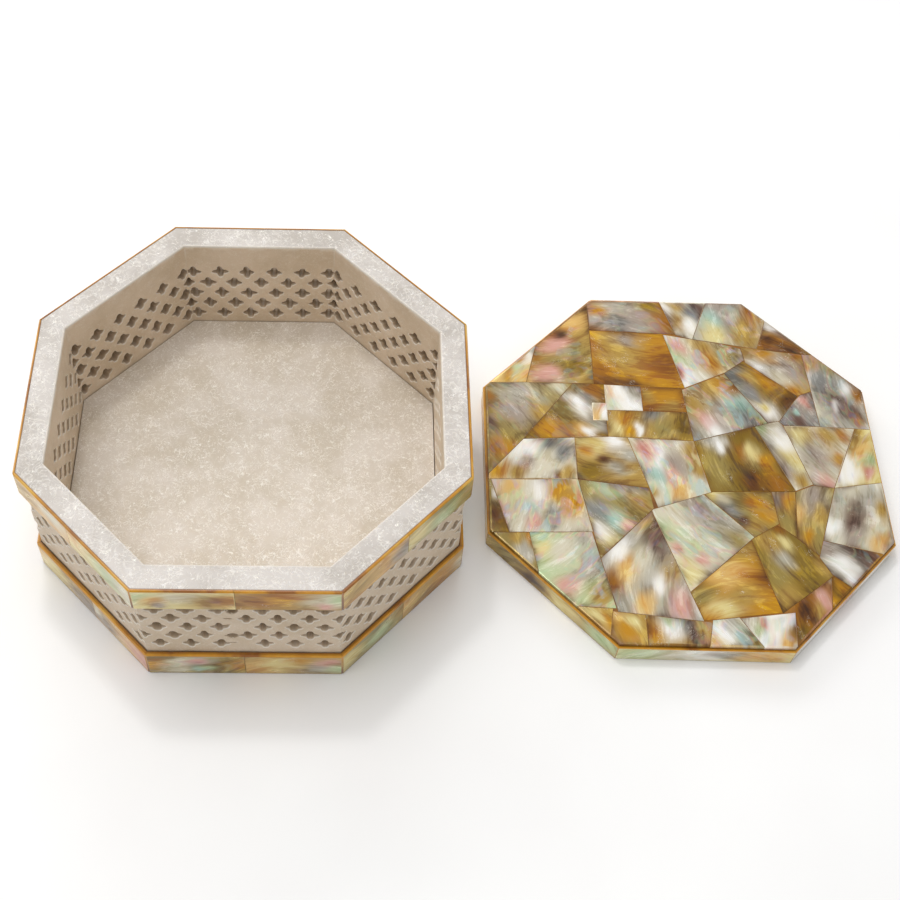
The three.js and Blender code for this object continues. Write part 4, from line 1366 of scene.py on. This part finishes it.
class MARBLE_OT_studio(bpy.types.Operator):
    """Set out the white sweep, the soft boxes and the camera"""
    bl_idname = "marble_box.studio"
    bl_label = "Light Studio"

    def execute(self, context):
        scene = context.scene
        studio = scene.marble_box.studio
        low, high = (Vector(corner) for corner in CAD_BOX)
        middle = (low + high) / 2
        self.lay_sweep(scene, low.z)
        world = bpy.data.worlds.new("White surroundings")
        world.use_nodes = True
        sky = world.node_tree.nodes["Background"].inputs
        sky["Color"].default_value = linear("#ffffff")
        sky["Strength"].default_value = studio.sky
        scene.world = world
        for name, setting, away, size in LAMPS:
            self.hang_light(scene, name, middle, away, size, getattr(studio, setting))
        camera = bpy.data.objects.new("camera", bpy.data.cameras.new("camera"))
        scene.collection.objects.link(camera)
        camera.data.sensor_width = 36
        camera.data.lens = studio.focal
        camera.data.shift_x = studio.shift_x
        camera.data.shift_y = studio.shift_y
        camera.data.clip_start = 0.01
        aim = (Matrix.Rotation(-studio.heading, 4, "Z")
               @ Matrix.Rotation(math.pi / 2 - studio.pitch, 4, "X")
               @ Matrix.Rotation(studio.roll, 4, "Z"))
        camera.matrix_world = Matrix.Translation((studio.across, studio.back, studio.height)) @ aim
        scene.camera = camera
        scene.view_settings.view_transform = "Standard"
        return {"FINISHED"}

    def lay_sweep(self, scene, level):
        """A floor of paper that runs out far past the view."""
        builder = bmesh.new()
        bmesh.ops.create_grid(builder, x_segments=8, y_segments=8, size=SWEEP_REACH)
        mesh = bpy.data.meshes.new("sweep")
        builder.to_mesh(mesh)
        builder.free()
        mesh.materials.append(sweep_paper())
        sweep = bpy.data.objects.new("sweep", mesh)
        sweep.location.z = level
        scene.collection.objects.link(sweep)

    def hang_light(self, scene, name, middle, away, size, power):
        """A soft box that looks at the object."""
        light = bpy.data.lights.new(name, "AREA")
        light.shape = "RECTANGLE"
        light.size, light.size_y = size
        light.energy = power
        lamp = bpy.data.objects.new(name, light)
        lamp.location = middle + Vector(away)
        lamp.rotation_euler = Vector(away).to_track_quat("Z", "Y").to_euler()
        scene.collection.objects.link(lamp)


class MarbleBox(bpy.types.PropertyGroup):
    """All the settings of the box"""
    lattice: PointerProperty(type=LatticeSizes)
    stone: PointerProperty(type=StoneColours)
    nacre: PointerProperty(type=NacreTones)
    studio: PointerProperty(type=StudioSettings)


class MARBLE_PT_sidebar(bpy.types.Panel):
    """The steps of the work, in order, and the settings behind them"""
    bl_idname = "MARBLE_PT_sidebar"
    bl_label = "Marble Box"
    bl_space_type = "VIEW_3D"
    bl_region_type = "UI"
    bl_category = "Marble Box"

    def draw(self, context):
        """Lays out a button for each step, and then the settings."""
        for step in STEPS:
            self.layout.operator(step.bl_idname)
        box = context.scene.marble_box
        for group in (box.lattice, box.stone, box.nacre, box.studio):
            column = self.layout.box().column()
            for setting in group.__annotations__:
                column.prop(group, setting)


STEPS = (MARBLE_OT_walls, MARBLE_OT_floor, MARBLE_OT_bands, MARBLE_OT_lid, MARBLE_OT_mosaic,
         MARBLE_OT_studio)
CLASSES = (LatticeSizes, StoneColours, NacreTones, StudioSettings, MarbleBox, *STEPS,
           MARBLE_PT_sidebar)


def register():
    """Registers every class, and hangs the settings on the scene."""
    for each in CLASSES:
        bpy.utils.register_class(each)
    bpy.types.Scene.marble_box = PointerProperty(type=MarbleBox)


def unregister():
    """Takes it all away again."""
    del bpy.types.Scene.marble_box
    for each in reversed(CLASSES):
        bpy.utils.unregister_class(each)


def main():
    """Makes the whole box in order."""
    register()
    for step in STEPS:
        group, name = step.bl_idname.split(".")
        getattr(getattr(bpy.ops, group), name)()


if __name__ == "__main__":
    main()
